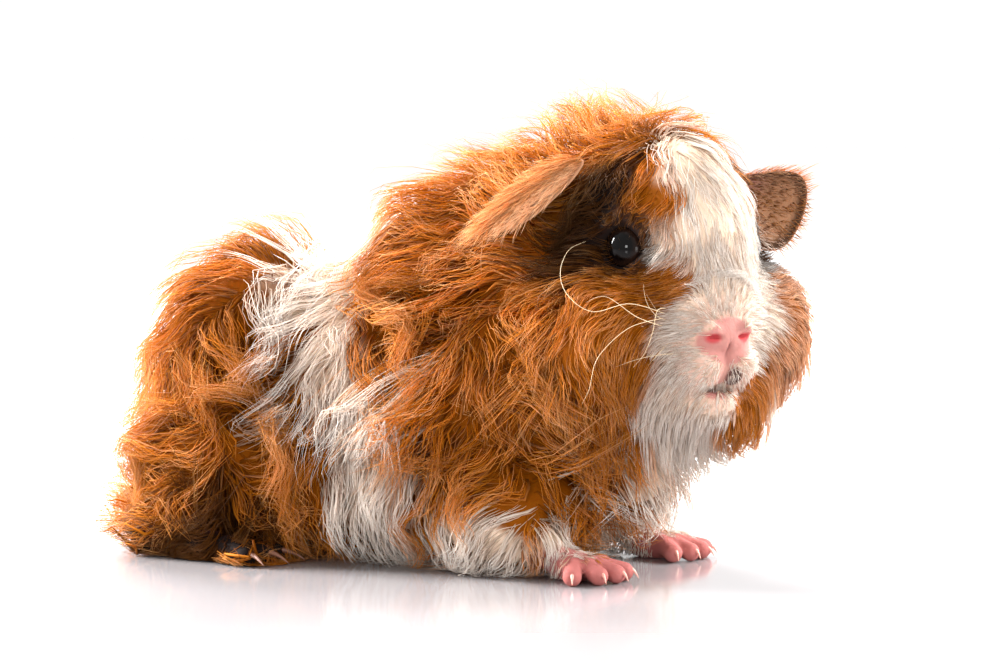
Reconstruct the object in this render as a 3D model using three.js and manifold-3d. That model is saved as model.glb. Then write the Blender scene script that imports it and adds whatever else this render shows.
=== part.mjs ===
// A young, long-coated guinea pig, standing crouched with its head turned to its right.
// Millimetres, +X towards the breast, +Y to the animal's left, +Z up, the floor at z = 0.
// The solids are the outside of the coat. A mass is one rounded volume of body and hair, masses
// are blended into a form, and a form becomes one closed mesh that is then parted by thin cuts.

import * as THREE from "three";
import { mergeVertices } from "three/addons/utils/BufferGeometryUtils.js";
import Module from "manifold-3d";

const wasm = await Module();
wasm.setup();

// ---- Driving dimensions ------------------------------------------------------------------

const GAP = 0.3; // left between neighbouring solids
const SKIRT = 1; // the belly hair stops this far above the floor

const RUMP_HEIGHT = 70;
const LOIN_HEIGHT = 64;
const WITHERS_HEIGHT = 84;
const TRUNK_WIDTH = 78;

const NOSE_TIP = new THREE.Vector3(59, -24, 47);
const HEAD_TURN = -38; // degrees about +Z, negative to the animal's right
const HEAD_WIDTH = 34; // over the hair at the brow
const CHEEK_WIDTH = 62;

const EYE_RADIUS = 4.7;
const EYE = { along: -19, out: 11.8, up: 17, hollow: 7 }; // from the tip of the nose
const NOSE_PAD = { width: 11, height: 8, depth: 5 };

const EAR = { length: 25, width: 21, thickness: 2.2 };

const FOREPAW = { palm: 5, toeLength: 7.4, toeRadius: 2, claw: 2.2 };
const HINDFOOT = { palm: 5.5, toeLength: 11, toeRadius: 2.1, claw: 4.8 };
const CLAW_RADIUS = 0.95;

const SIDES = { right: -1, left: 1 };
const rad = THREE.MathUtils.degToRad;
const at = (x, y, z) => new THREE.Vector3(x, y, z);

// ---- Masses and forms --------------------------------------------------------------------

// The signed distance, near enough, to an ellipsoid with these half sizes, turned by yaw about +Z
// and then by pitch, which lifts its +X end. Negative inside.
function mass(centre, half, yaw = 0, pitch = 0) {
  const turn = new THREE.Quaternion()
    .setFromEuler(new THREE.Euler(0, -rad(pitch), rad(yaw), "ZYX"))
    .invert();
  const p = at(0, 0, 0);
  return (point) => {
    p.copy(point).sub(centre).applyQuaternion(turn);
    const near = Math.hypot(p.x / half.x, p.y / half.y, p.z / half.z);
    const slope = Math.hypot(p.x / half.x ** 2, p.y / half.y ** 2, p.z / half.z ** 2);
    return slope > 0 ? (near * (near - 1)) / slope : -Math.min(half.x, half.y, half.z);
  };
}

// Joins forms with a fillet of about this size.
function blend(fillet, ...forms) {
  return (point) =>
    forms
      .map((form) => form(point))
      .reduce((a, b) => {
        const h = Math.max(fillet - Math.abs(a - b), 0) / fillet;
        return Math.min(a, b) - (h * h * fillet) / 4;
      });
}

const above = (form, level) => (point) => Math.max(form(point), level - point.z);

// ---- From forms to solids ----------------------------------------------------------------

function solidFrom(geometry) {
  const bare = geometry.clone();
  bare.deleteAttribute("normal");
  bare.deleteAttribute("uv");
  const merged = mergeVertices(bare, 1e-4);
  return new wasm.Manifold(
    new wasm.Mesh({
      numProp: 3,
      vertProperties: merged.attributes.position.array,
      triVerts: new Uint32Array(merged.index.array),
    }),
  );
}

function geometryFrom(solid) {
  const mesh = solid.getMesh();
  return new THREE.BufferGeometry()
    .setAttribute("position", new THREE.BufferAttribute(mesh.vertProperties, 3))
    .setIndex(new THREE.BufferAttribute(mesh.triVerts, 1));
}

// One closed skin of triangles over the form. The space from low to high is divided into cells,
// and each cell that the surface passes through holds one corner of the mesh.
function skinOf(form, low, high, cell) {
  const count = high.clone().sub(low).divideScalar(cell).ceil().addScalar(1);
  const index = (i, j, k) => i + count.x * (j + count.y * k);
  const node = (i, j, k) => at(i, j, k).multiplyScalar(cell).add(low);
  const value = new Float32Array(count.x * count.y * count.z);
  for (let k = 0; k < count.z; k++)
    for (let j = 0; j < count.y; j++)
      for (let i = 0; i < count.x; i++) value[index(i, j, k)] = form(node(i, j, k));
  fillPinches(value, count, index);

  // The middle of the places where the surface crosses a cell's edges.
  const crossing = (i, j, k) => {
    const sum = at(0, 0, 0);
    let crossings = 0;
    for (const [a, b] of CELL_EDGES) {
      const here = value[index(i + a[0], j + a[1], k + a[2])];
      const next = value[index(i + b[0], j + b[1], k + b[2])];
      if (here < 0 === next < 0) continue;
      const start = node(i + a[0], j + a[1], k + a[2]);
      sum.add(start.lerp(node(i + b[0], j + b[1], k + b[2]), here / (here - next)));
      crossings++;
    }
    return sum.divideScalar(crossings);
  };
  const corner = new Map();
  const places = [];
  const cornerOf = (i, j, k) => {
    const key = index(i, j, k);
    if (!corner.has(key)) {
      corner.set(key, places.length / 3);
      places.push(...crossing(i, j, k).toArray());
    }
    return corner.get(key);
  };
  const faces = [];
  for (let k = 1; k < count.z - 1; k++)
    for (let j = 1; j < count.y - 1; j++)
      for (let i = 1; i < count.x - 1; i++)
        for (const { step, around } of CELLS_ABOUT_EDGE) {
          const here = value[index(i, j, k)] < 0;
          const next = value[index(i + step[0], j + step[1], k + step[2])] < 0;
          if (here === next) continue;
          const [p, q, r, s] = around.map(([x, y, z]) => cornerOf(i + x, j + y, k + z));
          if (here) faces.push(p, q, r, p, r, s);
          else faces.push(p, r, q, p, s, r);
        }
  return new wasm.Manifold(
    new wasm.Mesh({
      numProp: 3,
      vertProperties: new Float32Array(places),
      triVerts: new Uint32Array(faces),
    }),
  );
}
// Two inside nodes that meet only across the corner of a square would pinch the skin to nothing,
// so one of the two outside nodes between them is taken inside.
function fillPinches(value, count, index) {
  let changed = false;
  for (let k = 0; k < count.z - 1; k++)
    for (let j = 0; j < count.y - 1; j++)
      for (let i = 0; i < count.x - 1; i++)
        for (const [a, b] of SQUARES) {
          const square = [[0, 0, 0], a, b, a.map((step, axis) => step + b[axis])].map(([x, y, z]) =>
            index(i + x, j + y, k + z),
          );
          const [here, besideA, besideB, opposite] = square.map((node) => value[node] < 0);
          if (here !== opposite || besideA !== besideB || here === besideA) continue;
          const outside = square.filter((node) => value[node] >= 0);
          const nearer = value[outside[0]] < value[outside[1]] ? outside[0] : outside[1];
          value[nearer] = -0.1;
          changed = true;
        }
  if (changed) fillPinches(value, count, index);
}
const SQUARES = [
  [[1, 0, 0], [0, 1, 0]],
  [[0, 1, 0], [0, 0, 1]],
  [[0, 0, 1], [1, 0, 0]],
];
const CELL_EDGES = [0, 1, 2].flatMap((axis) =>
  [0, 1, 2, 3].map((corner) => {
    const start = [0, 0, 0];
    start[(axis + 1) % 3] = corner & 1;
    start[(axis + 2) % 3] = corner >> 1;
    const end = [...start];
    end[axis] = 1;
    return [start, end];
  }),
);
const CELLS_ABOUT_EDGE = [
  { step: [1, 0, 0], around: [[0, 0, 0], [0, -1, 0], [0, -1, -1], [0, 0, -1]] },
  { step: [0, 1, 0], around: [[0, 0, 0], [0, 0, -1], [-1, 0, -1], [-1, 0, 0]] },
  { step: [0, 0, 1], around: [[0, 0, 0], [-1, 0, 0], [-1, -1, 0], [0, -1, 0]] },
];

// A large block with one face through a point, to cut everything on the side that way points to.
function beyond(point, way) {
  const size = 400;
  const block = new THREE.BoxGeometry(size, size, size);
  block.translate(0, 0, size / 2);
  block.applyQuaternion(new THREE.Quaternion().setFromUnitVectors(at(0, 0, 1), way));
  block.translate(point.x, point.y, point.z);
  return solidFrom(block);
}

const floor = beyond(at(0, 0, 0), at(0, 0, -1));

// ---- The head's own frame ----------------------------------------------------------------

const headAlong = at(Math.cos(rad(HEAD_TURN)), Math.sin(rad(HEAD_TURN)), 0);
const headLeft = at(-headAlong.y, headAlong.x, 0);
const inHead = (along, left, up) =>
  NOSE_TIP.clone()
    .addScaledVector(headAlong, along)
    .addScaledVector(headLeft, left)
    .add(at(0, 0, up));
const headMass = (along, left, up, half, pitch = 0, yaw = 0) =>
  mass(inHead(along, left, up), half, HEAD_TURN + yaw, pitch);

// ---- Where the feet stand ----------------------------------------------------------------

const forefeet = {
  right: { heel: at(20, -28, 6), palm: at(27, -27, 2.6), heading: -28, fan: [-38, -8, 18, 42] },
  left: { heel: at(20, 14, 6), palm: at(27, 13, 2.6), heading: -8, fan: [-36, -12, 12, 36] },
};
const hindfeet = {
  right: { heel: at(-66, -27, 4.2), palm: at(-52, -28, 2.9), heading: -12, fan: [-18, 0, 18] },
  left: { heel: at(-66, 27, 4.2), palm: at(-52, 28, 2.9), heading: 12, fan: [-18, 0, 18] },
};

// ---- The coat ----------------------------------------------------------------------------

// A mass on each side of the trunk, given for the left one.
const bothSides = (x, y, z, half, yaw = 0, pitch = 0) =>
  Object.values(SIDES).map((side) => mass(at(x, side * y, z), half, side * yaw, pitch));

const trunkForm = blend(
  8,
  mass(at(-56.5, 0, RUMP_HEIGHT / 2), at(23.5, TRUNK_WIDTH / 2 - 5, RUMP_HEIGHT / 2), 0, -4),
  mass(at(-26, 0, LOIN_HEIGHT / 2), at(33, TRUNK_WIDTH / 2 - 7, LOIN_HEIGHT / 2)),
  mass(at(-6, 0, WITHERS_HEIGHT - 25.5), at(32, 26, 24.5), 0, 12), // withers
  mass(at(8, -2, 40), at(30, TRUNK_WIDTH / 2 - 7, 40)), // chest
  mass(at(31, -5, 26), at(18, 21, 22)), // breast
  ...bothSides(-54, 20, 18, at(24, 18, 19), 4), // haunch
  mass(at(-67, -4, 8), at(19, 28, 8)), // hair over the heels
  ...bothSides(8, 21, 34, at(27, 17, 24), -14), // shoulder curls
  ...bothSides(-16, 18, 14, at(44, 18, 16)), // hair of the flank
);
const armForm = blend(
  5,
  ...[forefeet.right, forefeet.left].flatMap(({ heel }) => [
    mass(at(heel.x - 12, heel.y, 17), at(12, 9, 15), 0, 10),
    mass(at(heel.x - 7, heel.y, 8), at(14, 7, 7.5), 0, -6),
  ]),
);
const neckForm = mass(at(16, -1, 63), at(30, 25, 28), HEAD_TURN / 2, 15);
const headForm = blend(
  8,
  headMass(-30, 0, 20, at(21, HEAD_WIDTH / 2, 24), -20), // skull
  headMass(-20, 0, 17, at(18, HEAD_WIDTH / 2 - 4.5, 18), -30), // brow
  headMass(-47, 0, 34, at(12, 13, 12)), // crest
  headMass(-12, 0, 2, at(10, 11.5, 11), -25), // muzzle
  headMass(-17, 0, -9, at(11, 12.5, 9.5), -10), // chin and lower jaw
  headMass(-33, 12, 31, at(8, 8, 8)), // tuft before the left ear
  headMass(-16, 10, -16, at(8, 8, 9)), // beard on the left of the jaw
  ...Object.values(SIDES).map((side) =>
    headMass(-23, side * (CHEEK_WIDTH / 2 - 13), 0, at(14, 13, 16), 0, -side * 12),
  ),
);
const coatForm = above(
  blend(4, blend(9, trunkForm, neckForm, headForm), armForm),
  SKIRT,
);
const coat = skinOf(coatForm, at(-100, -54, -9), at(84, 54, 108), 6.6);

// A cut is a point on a plane and the way that the plane faces, towards the nose.
const slope = 0.62;
const throatCut = { point: inHead(-31, 0, 16), way: headAlong.clone().setZ(slope).normalize() };
const collarCut = { point: at(20, 0, 56), way: at(1, -0.15, slope).normalize() };
const behind = (solid, { point, way }) =>
  solid.subtract(beyond(point.clone().addScaledVector(way, -GAP / 2), way));
const inFront = (solid, { point, way }) =>
  solid.subtract(beyond(point.clone().addScaledVector(way, GAP / 2), way.clone().negate()));

// ---- Eyes, nose and ears -----------------------------------------------------------------

const ball = (centre, half, across = 10, down = 7, turn = new THREE.Quaternion()) =>
  solidFrom(
    new THREE.SphereGeometry(1, across, down)
      .scale(half.x, half.y, half.z)
      .applyQuaternion(turn)
      .translate(centre.x, centre.y, centre.z),
  );
const cube = (half) => at(half, half, half);
const headTurn = new THREE.Quaternion().setFromAxisAngle(at(0, 0, 1), rad(HEAD_TURN));

const eyePlace = (side) => inHead(EYE.along, side * EYE.out, EYE.up);
const eye = (side, extra = 0) => ball(eyePlace(side), cube(EYE_RADIUS + extra));

// The hair lies short around an eye, so that it stands free in a hollow open to the front.
const eyeHollow = (side) =>
  ball(
    inHead(EYE.along + 5, side * (EYE.out + 4), EYE.up),
    at(11, 6, EYE.hollow),
    10,
    7,
    new THREE.Quaternion().setFromAxisAngle(at(0, 0, 1), rad(HEAD_TURN + side * 25)),
  );

const nosePad = (extra = 0) =>
  ball(
    inHead(-NOSE_PAD.depth, 0, 0.5),
    at(NOSE_PAD.depth + extra, NOSE_PAD.width / 2 + extra, NOSE_PAD.height / 2 + extra),
    12,
    8,
    headTurn,
  );

// An ear is a flattened ball drawn out into a petal. Its root is beside the crown, way runs to
// its tip and lie runs across it to its hind edge, both in the head's frame. It is cupped across
// and droops along its length.
function ear(side, { root, way, lie, cup, droop }, extra = 0) {
  const geometry = new THREE.SphereGeometry(1, 12, 7);
  const place = geometry.attributes.position;
  const turned = ([along, out, up]) => inHead(along, side * out, up).sub(NOSE_TIP).normalize();
  const length = turned(way);
  const face = turned(lie).cross(length).multiplyScalar(side).normalize();
  const width = length.clone().cross(face);
  const start = inHead(root[0], side * root[1], root[2]);
  for (let i = 0; i < place.count; i++) {
    const reachOut = (place.getY(i) + 1) / 2;
    const across = place.getX(i) * (0.72 + 0.34 * reachOut);
    const thick = place.getZ(i) * (EAR.thickness / 2 + extra);
    const p = start
      .clone()
      .addScaledVector(length, reachOut * (EAR.length + 2 * extra) - extra)
      .addScaledVector(width, across * (EAR.width / 2 + extra))
      .addScaledVector(face, thick + cup * across ** 2 + droop * reachOut ** 2);
    place.setXYZ(i, p.x, p.y, p.z);
  }
  return solidFrom(geometry);
}
const ears = {
  right: { root: [-29, 16, 33], way: [-7, 20, -14], lie: [-8, 0, 2.5], cup: 4, droop: 2 },
  left: { root: [-32, 13, 25], way: [-3, 22, -1], lie: [-3, 0, -9], cup: 4, droop: 3 },
};

// ---- Legs --------------------------------------------------------------------------------

// A foot: a palm with toes fanned around heading, each ending at its claw, flat on the floor.
function foot({ heel, palm, heading, fan }, { palm: size, toeLength, toeRadius }, extra = 0) {
  const sole = ball(
    palm,
    at(size * 1.25 + extra, size * 0.95 + extra, size * 0.72 + extra),
    8,
    5,
    new THREE.Quaternion().setFromAxisAngle(at(0, 0, 1), rad(heading)),
  );
  const shank = limb(heel, palm, size * 0.62 + extra);
  const toes = fan.map((spread) => {
    const { start, end } = toeLine({ palm, heading }, spread, size, toeLength, toeRadius);
    return limb(start, end, toeRadius + extra);
  });
  return toes.reduce((whole, toe) => whole.add(toe), sole.add(shank)).subtract(floor);
}
function toeLine({ palm, heading }, spread, size, toeLength, toeRadius) {
  const way = at(Math.cos(rad(heading + spread)), Math.sin(rad(heading + spread)), 0);
  const start = palm.clone().addScaledVector(way, size * 0.55);
  const end = palm.clone().addScaledVector(way, size * 0.55 + toeLength).setZ(toeRadius - 0.3);
  return { start, end, way };
}
// A straight round-ended rod.
function limb(start, end, radius) {
  const along = end.clone().sub(start);
  const geometry = new THREE.CapsuleGeometry(radius, along.length(), 2, 6);
  const middle = start.clone().addScaledVector(along, 0.5);
  geometry.applyQuaternion(
    new THREE.Quaternion().setFromUnitVectors(at(0, 1, 0), along.clone().normalize()),
  );
  return solidFrom(geometry.translate(middle.x, middle.y, middle.z));
}
// A claw: a cone whose point curves down as it runs forward from its toe.
function claw(place, spread, { palm: size, toeLength, toeRadius, claw: length }, extra = 0) {
  const { end, way } = toeLine(place, spread, size, toeLength, toeRadius);
  const geometry = new THREE.ConeGeometry(CLAW_RADIUS + extra, length + 1, 5, 2);
  const point = geometry.attributes.position;
  const across = at(way.y, -way.x, 0);
  for (let i = 0; i < point.count; i++) {
    const run = point.getY(i) + (length + 1) / 2;
    const p = end
      .clone()
      .addScaledVector(way, toeRadius * 0.6 + run + extra)
      .addScaledVector(across, point.getX(i));
    p.z += 0.5 + point.getZ(i) - (1.9 * run ** 2) / (length + 1) ** 2;
    point.setXYZ(i, p.x, p.y, p.z);
  }
  return solidFrom(geometry).subtract(floor);
}

// The part of the coat that belongs to a leg lies inside one of these.
const forelegRegion = ({ heel }, side, extra = 0) =>
  ball(
    at(heel.x - 12, heel.y + side * 3, 9),
    at(22 + extra, 11 + extra, 17 + extra),
    10,
    6,
  );
const hindlegRegion = (side, extra = 0) =>
  ball(at(-56, side * 34, 17), at(25 + extra, 15 + extra, 26 + extra), 10, 6);

// ---- The group ---------------------------------------------------------------------------

const finish = {
  ginger: new THREE.MeshStandardMaterial({ color: 0xb5692c, roughness: 0.85, metalness: 0 }),
  white: new THREE.MeshStandardMaterial({ color: 0xf0e6da, roughness: 0.85, metalness: 0 }),
  pink: new THREE.MeshStandardMaterial({ color: 0xd99a90, roughness: 0.55, metalness: 0 }),
  horn: new THREE.MeshStandardMaterial({ color: 0xcbb3a2, roughness: 0.4, metalness: 0 }),
  black: new THREE.MeshStandardMaterial({ color: 0x0a0808, roughness: 0.08, metalness: 0 }),
};

const group = new THREE.Group();
function add(name, solid, material) {
  const biggest = solid.decompose().reduce((a, b) => (a.volume() > b.volume() ? a : b));
  const mesh = new THREE.Mesh(geometryFrom(biggest), material);
  mesh.name = name;
  group.add(mesh);
}

let trunk = behind(coat, collarCut);
let head = inFront(coat, throatCut).subtract(nosePad(GAP));
let neck = behind(inFront(coat, collarCut), throatCut);
for (const [name, side] of Object.entries(SIDES)) {
  const fore = forefeet[name];
  const hind = hindfeet[name];
  const foreRegion = forelegRegion(fore, side);
  const hindRegion = hindlegRegion(side);
  const forefoot = foot(fore, FOREPAW);
  const hindfoot = foot(hind, HINDFOOT);
  const foreRoom = foot(fore, FOREPAW, GAP);
  const hindRoom = foot(hind, HINDFOOT, GAP);
  const earRoom = ear(side, ears[name], 1.5 * GAP);
  head = head.subtract(eyeHollow(side)).subtract(eye(side, GAP)).subtract(earRoom);
  neck = neck.subtract(earRoom);
  add("foreleg_" + name, trunk.intersect(foreRegion).subtract(foreRoom), finish.ginger);
  add("hindleg_" + name, trunk.intersect(hindRegion).subtract(hindRoom), finish.ginger);
  trunk = trunk
    .subtract(forelegRegion(fore, side, GAP))
    .subtract(hindlegRegion(side, GAP))
    .subtract(foreRoom)
    .subtract(hindRoom)
    .subtract(earRoom);
  add("forepaw_" + name, forefoot, finish.pink);
  add("hindfoot_" + name, hindfoot, finish.pink);
  add("eye_" + name, eye(side), finish.black);
  add("ear_" + name, ear(side, ears[name]), finish.ginger);
  for (const [paw, place, size, room] of [
    ["forepaw", fore, FOREPAW, foreRoom],
    ["hindfoot", hind, HINDFOOT, hindRoom],
  ]) {
    place.fan.forEach((spread, i) => {
      trunk = trunk.subtract(claw(place, spread, size, GAP));
      add(`claw_${paw}_${name}_${i + 1}`, claw(place, spread, size).subtract(room), finish.horn);
    });
  }
}
add("nose", nosePad(), finish.pink);
add("head", head, finish.ginger);
add("neck", neck, finish.ginger);
add("trunk", trunk, finish.white);

// The part stands on the middle of its own footprint.
const box = new THREE.Box3().setFromObject(group);
const middle = box.getCenter(at(0, 0, 0));
for (const mesh of group.children) mesh.geometry.translate(-middle.x, -middle.y, -box.min.z);

export default group;
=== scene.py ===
# %% [markdown]
# # A young long-coated guinea pig
# The animal is built from the inside out, as it grows: one skin, then the eyes, claws and
# whiskers, and last the coat, lock by lock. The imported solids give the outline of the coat.

# %% Load the solids
import math
import time

import bmesh
import bpy
import numpy as np
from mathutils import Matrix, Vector
from mathutils.bvhtree import BVHTree
from mathutils.kdtree import KDTree


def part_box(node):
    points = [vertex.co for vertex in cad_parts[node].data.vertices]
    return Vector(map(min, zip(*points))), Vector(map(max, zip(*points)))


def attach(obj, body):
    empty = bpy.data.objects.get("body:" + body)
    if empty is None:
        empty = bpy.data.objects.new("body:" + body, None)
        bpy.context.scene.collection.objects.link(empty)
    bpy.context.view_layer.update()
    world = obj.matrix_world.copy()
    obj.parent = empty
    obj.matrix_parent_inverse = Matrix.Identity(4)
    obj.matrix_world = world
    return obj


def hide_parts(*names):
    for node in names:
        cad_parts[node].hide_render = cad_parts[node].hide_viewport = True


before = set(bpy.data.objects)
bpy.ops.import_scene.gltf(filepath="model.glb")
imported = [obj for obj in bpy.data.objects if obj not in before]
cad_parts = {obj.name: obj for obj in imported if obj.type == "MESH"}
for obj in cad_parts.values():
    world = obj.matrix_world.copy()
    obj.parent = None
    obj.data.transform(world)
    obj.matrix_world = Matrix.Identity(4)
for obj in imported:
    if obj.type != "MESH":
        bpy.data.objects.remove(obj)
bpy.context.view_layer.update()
began = time.time()


def tell(*what):
    """Prints what was made, and how many seconds in."""
    print(*what, f"({time.time() - began:.0f} s)")


# %% [markdown]
# All shapes are worked out in millimetres in the animal's own frame: +X to the breast, +Y to its
# left, +Z up. The head has a frame of its own, because it is turned to the right. Its numbers are
# read as how far along, to the left of and above the tip of the nose.

# %% The animal's frame and the head's
MM = 0.001
NOSE_TIP = np.array([59.0, -24.0, 47.0])
HEAD_TURN = math.radians(-38)
EYE_RADIUS = 4.7
head_along = np.array([math.cos(HEAD_TURN), math.sin(HEAD_TURN), 0.0])
head_left = np.array([-head_along[1], head_along[0], 0.0])
head_axes = np.stack([head_along, head_left, [0.0, 0.0, 1.0]])


def in_head(along, left, up):
    """A place in the head's frame, given in the animal's."""
    return NOSE_TIP + np.array([along, left, up], float) @ head_axes


def to_head(points):
    return (points - NOSE_TIP) @ head_axes.T


def middle_of(node):
    low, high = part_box(node)
    return (np.array(low) + np.array(high)) / 2 / MM


home = middle_of("nose") - in_head(-5, 0, 0.5)
eyes = {side: middle_of("eye_" + side) - home for side in ("right", "left")}
print("the animal's frame sits at", home.round(2), "mm, eyes at", eyes)


def smooth(x):
    x = np.clip(x, 0, 1)
    return x * x * (3 - 2 * x)


def unit(v):
    return v / np.maximum(np.linalg.norm(v, axis=-1, keepdims=True), 1e-9)


def apart(p, centre, half=1, by=1):
    """How far these points are from a centre, divided or multiplied along each axis."""
    return np.linalg.norm((p - np.array(centre, float)) / half * by, axis=1)


def from_eyes(p):
    return np.min([apart(p, eye) for eye in eyes.values()], axis=0)


# %% [markdown]
# ## The coat's outside and the skin under it
# The coat is a blend of rounded masses, as its solids are. The skin is the same shape let in by
# the depth of the hair, with the small forms of the face and feet added to it.

# %% Masses and how they blend
def mass(centre, half, yaw=0.0, pitch=0.0):
    """The distance to a turned ellipsoid, near enough, at many points. Negative inside."""
    cy, sy = math.cos(math.radians(yaw)), math.sin(math.radians(yaw))
    cp, sp = math.cos(math.radians(pitch)), math.sin(math.radians(pitch))
    axes = np.array([[cy * cp, sy * cp, sp], [-sy, cy, 0], [-cy * sp, -sy * sp, cp]])
    centre, half = np.array(centre, float), np.array(half, float)

    def distance(p):
        q = (p - centre) @ axes.T / half
        near = np.sqrt(np.einsum("ij,ij->i", q, q))
        slope = np.sqrt(np.einsum("ij,ij->i", q / half, q / half))
        return near * (near - 1) / np.maximum(slope, 1e-6)

    return distance


def join(fillet, a, b):
    h = np.maximum(fillet - np.abs(a - b), 0) / fillet
    return np.minimum(a, b) - h * h * fillet / 4


def carve(fillet, a, b):
    return -join(fillet, -a, b)


def head_mass(along, left, up, half, pitch=0.0, yaw=0.0):
    return mass(in_head(along, left, up), half, math.degrees(HEAD_TURN) + yaw, pitch)


# %% The coat's masses
SIDES = {"right": -1, "left": 1}
TRUNK_HALF = 39.0


def both_sides(x, y, z, half, yaw=0.0, pitch=0.0):
    return [mass((x, s * y, z), half, s * yaw, pitch) for s in SIDES.values()]


trunk_masses = [
    mass((-56.5, 0, 35), (23.5, TRUNK_HALF - 5, 35), 0, -4),
    mass((-26, 0, 32), (33, TRUNK_HALF - 7, 32)),
    mass((-6, 0, 58.5), (32, 26, 24.5), 0, 12),
    mass((8, -2, 40), (30, TRUNK_HALF - 7, 40)),
    mass((31, -5, 26), (18, 21, 22)),
    *both_sides(-54, 20, 18, (24, 18, 19), 4),
    mass((-67, -4, 8), (19, 28, 8)),
    *both_sides(8, 21, 34, (27, 17, 24), -14),
    *both_sides(-16, 18, 14, (44, 18, 16)),
]
forefeet = {
    "right": dict(heel=(20, -28, 6), palm=(27, -27, 2.6), heading=-28, fan=(-38, -8, 18, 42)),
    "left": dict(heel=(20, 14, 6), palm=(27, 13, 2.6), heading=-8, fan=(-36, -12, 12, 36)),
}
hindfeet = {
    "right": dict(heel=(-66, -27, 4.2), palm=(-52, -28, 2.9), heading=-12, fan=(-18, 0, 18)),
    "left": dict(heel=(-66, 27, 4.2), palm=(-52, 28, 2.9), heading=12, fan=(-18, 0, 18)),
}
arm_masses = []
for foot in forefeet.values():
    x, y, _ = foot["heel"]
    arm_masses += [mass((x - 12, y, 17), (12, 9, 15), 0, 10)]
    arm_masses += [mass((x - 7, y, 8), (14, 7, 7.5), 0, -6)]
neck_mass = mass((16, -1, 63), (30, 25, 28), math.degrees(HEAD_TURN) / 2, 15)
head_masses = [
    head_mass(-30, 0, 20, (21, 17, 24), -20),
    head_mass(-20, 0, 17, (18, 12.5, 18), -30),
    head_mass(-47, 0, 34, (12, 13, 12)),
    head_mass(-12, 0, 2, (10, 11.5, 11), -25),
    head_mass(-17, 0, -9, (11, 12.5, 9.5), -10),
    head_mass(-33, 12, 31, (8, 8, 8)),
    head_mass(-16, 10, -16, (8, 8, 9)),
    head_mass(-23, -18, 0, (14, 13, 16), 0, 12),
    head_mass(-23, 18, 0, (14, 13, 16), 0, -12),
]


def blend_all(fillet, masses, p):
    total = masses[0](p)
    for m in masses[1:]:
        total = join(fillet, total, m(p))
    return total


def coat(p):
    """The distance to the outside of the coat."""
    trunk = blend_all(8, trunk_masses, p)
    head = blend_all(8, head_masses, p)
    arms = blend_all(5, arm_masses, p)
    return join(4, join(9, join(9, trunk, neck_mass(p)), head), arms)


# %% [markdown]
# The hair is deepest over the back and the shoulders. It gets shorter towards the muzzle, round
# the eyes and down the forearms, where the skin comes close to the outline.

# %% The depth of the coat
BODY_DEPTH = 9.0
LEVELS = ((-60, 9.0), (-44, 8.5), (-30, 5.5), (-20, 3.2), (-12, 1.8), (-5, 0.9), (0, 0.5))


def coat_depth(p):
    q = to_head(p)
    alongs, depths = zip(*LEVELS)
    face = np.interp(q[:, 0], alongs, depths)
    face = face + 4.0 * smooth((24 - q[:, 2]) / 20) * smooth((-q[:, 0] - 17) / 12)
    under = smooth((-14 - q[:, 2]) / 10)
    depth = face + (BODY_DEPTH - face) * under
    beyond = smooth((-48 - q[:, 0]) / 14)
    depth = depth + (BODY_DEPTH - depth) * beyond
    for eye in eyes.values():
        depth = depth * (0.35 + 0.65 * smooth((apart(p, eye) - 5) / 9))
    for foot in forefeet.values():
        depth = depth * (0.3 + 0.7 * smooth((apart(p, foot["heel"], by=(0.6, 1, 1)) - 8) / 12))
    return depth


# %% [markdown]
# The face: a broad bare nose with two slanting nostrils, a split upper lip in two pads, a short
# mouth over a small lower lip, and round bulging eyes in the rims of their lids. All of it is
# joined to the skin and carved out of it with small fillets, so it stays one skin.

# %% The face
EYE_YAW = 58.0
EYE_PITCH = 6.0
eye_axes = {}
for name, side in SIDES.items():
    yaw = HEAD_TURN + side * math.radians(EYE_YAW)
    pitch = math.radians(EYE_PITCH)
    level = math.cos(pitch)
    out = np.array([math.cos(yaw) * level, math.sin(yaw) * level, math.sin(pitch)])
    flat = unit(np.cross([0, 0, 1.0], out))
    eye_axes[name] = np.stack([out, flat, np.cross(out, flat)])

face_adds = [
    (2.0, head_mass(-5.2, 0, 0.3, (4.6, 5.4, 3.9))),
    (1.2, head_mass(-2.6, 3.5, 2.0, (2.2, 1.9, 1.5), 20, 24)),
    (1.2, head_mass(-2.6, -3.5, 2.0, (2.2, 1.9, 1.5), 20, -24)),
    (1.5, head_mass(-6.6, 3.6, -5.2, (5.4, 4.6, 4.4), 10)),
    (1.5, head_mass(-6.6, -3.6, -5.2, (5.4, 4.6, 4.4), 10)),
    (2.0, head_mass(-8.6, 0, -12.6, (5.2, 5.0, 3.0))),
]
face_cuts = [
    (0.5, head_mass(-0.7, 3.2, 0.6, (1.5, 1.75, 0.5), 0, 35)),
    (0.5, head_mass(-0.7, -3.2, 0.6, (1.5, 1.75, 0.5), 0, -35)),
    (0.8, head_mass(-0.9, 0, -4.6, (1.6, 0.35, 4.6), 12)),
    (0.9, head_mass(-3.2, 0, -9.7, (4.4, 4.6, 0.6))),
]
LID = 0.75
LID_ROOM = 0.12
OPENING = (math.radians(57), math.radians(50))


def eyelids(p, skin):
    """The skin with a round lid grown over each eye, and its opening cut through."""
    wide, high = OPENING
    for name, eye in eyes.items():
        q = (p - eye) @ eye_axes[name].T
        far = apart(q, 0)
        skin = join(3.0, skin, far - (EYE_RADIUS + LID))
        skin = carve(0.3, skin, far - (EYE_RADIUS + LID_ROOM))
        across = np.arctan2(q[:, 1], q[:, 0]) / wide
        up = np.arctan2(q[:, 2], q[:, 0]) / high
        opening = (np.hypot(across, up) - 1) * high * np.clip(far, 1, 8)
        skin = carve(0.5, skin, opening)
    return skin


# %% [markdown]
# A forefoot has four short toes fanned out and a hindfoot three, all flat on the floor. Each toe
# is a round-ended rod with pads, and they come out of the hair of the leg.

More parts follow.
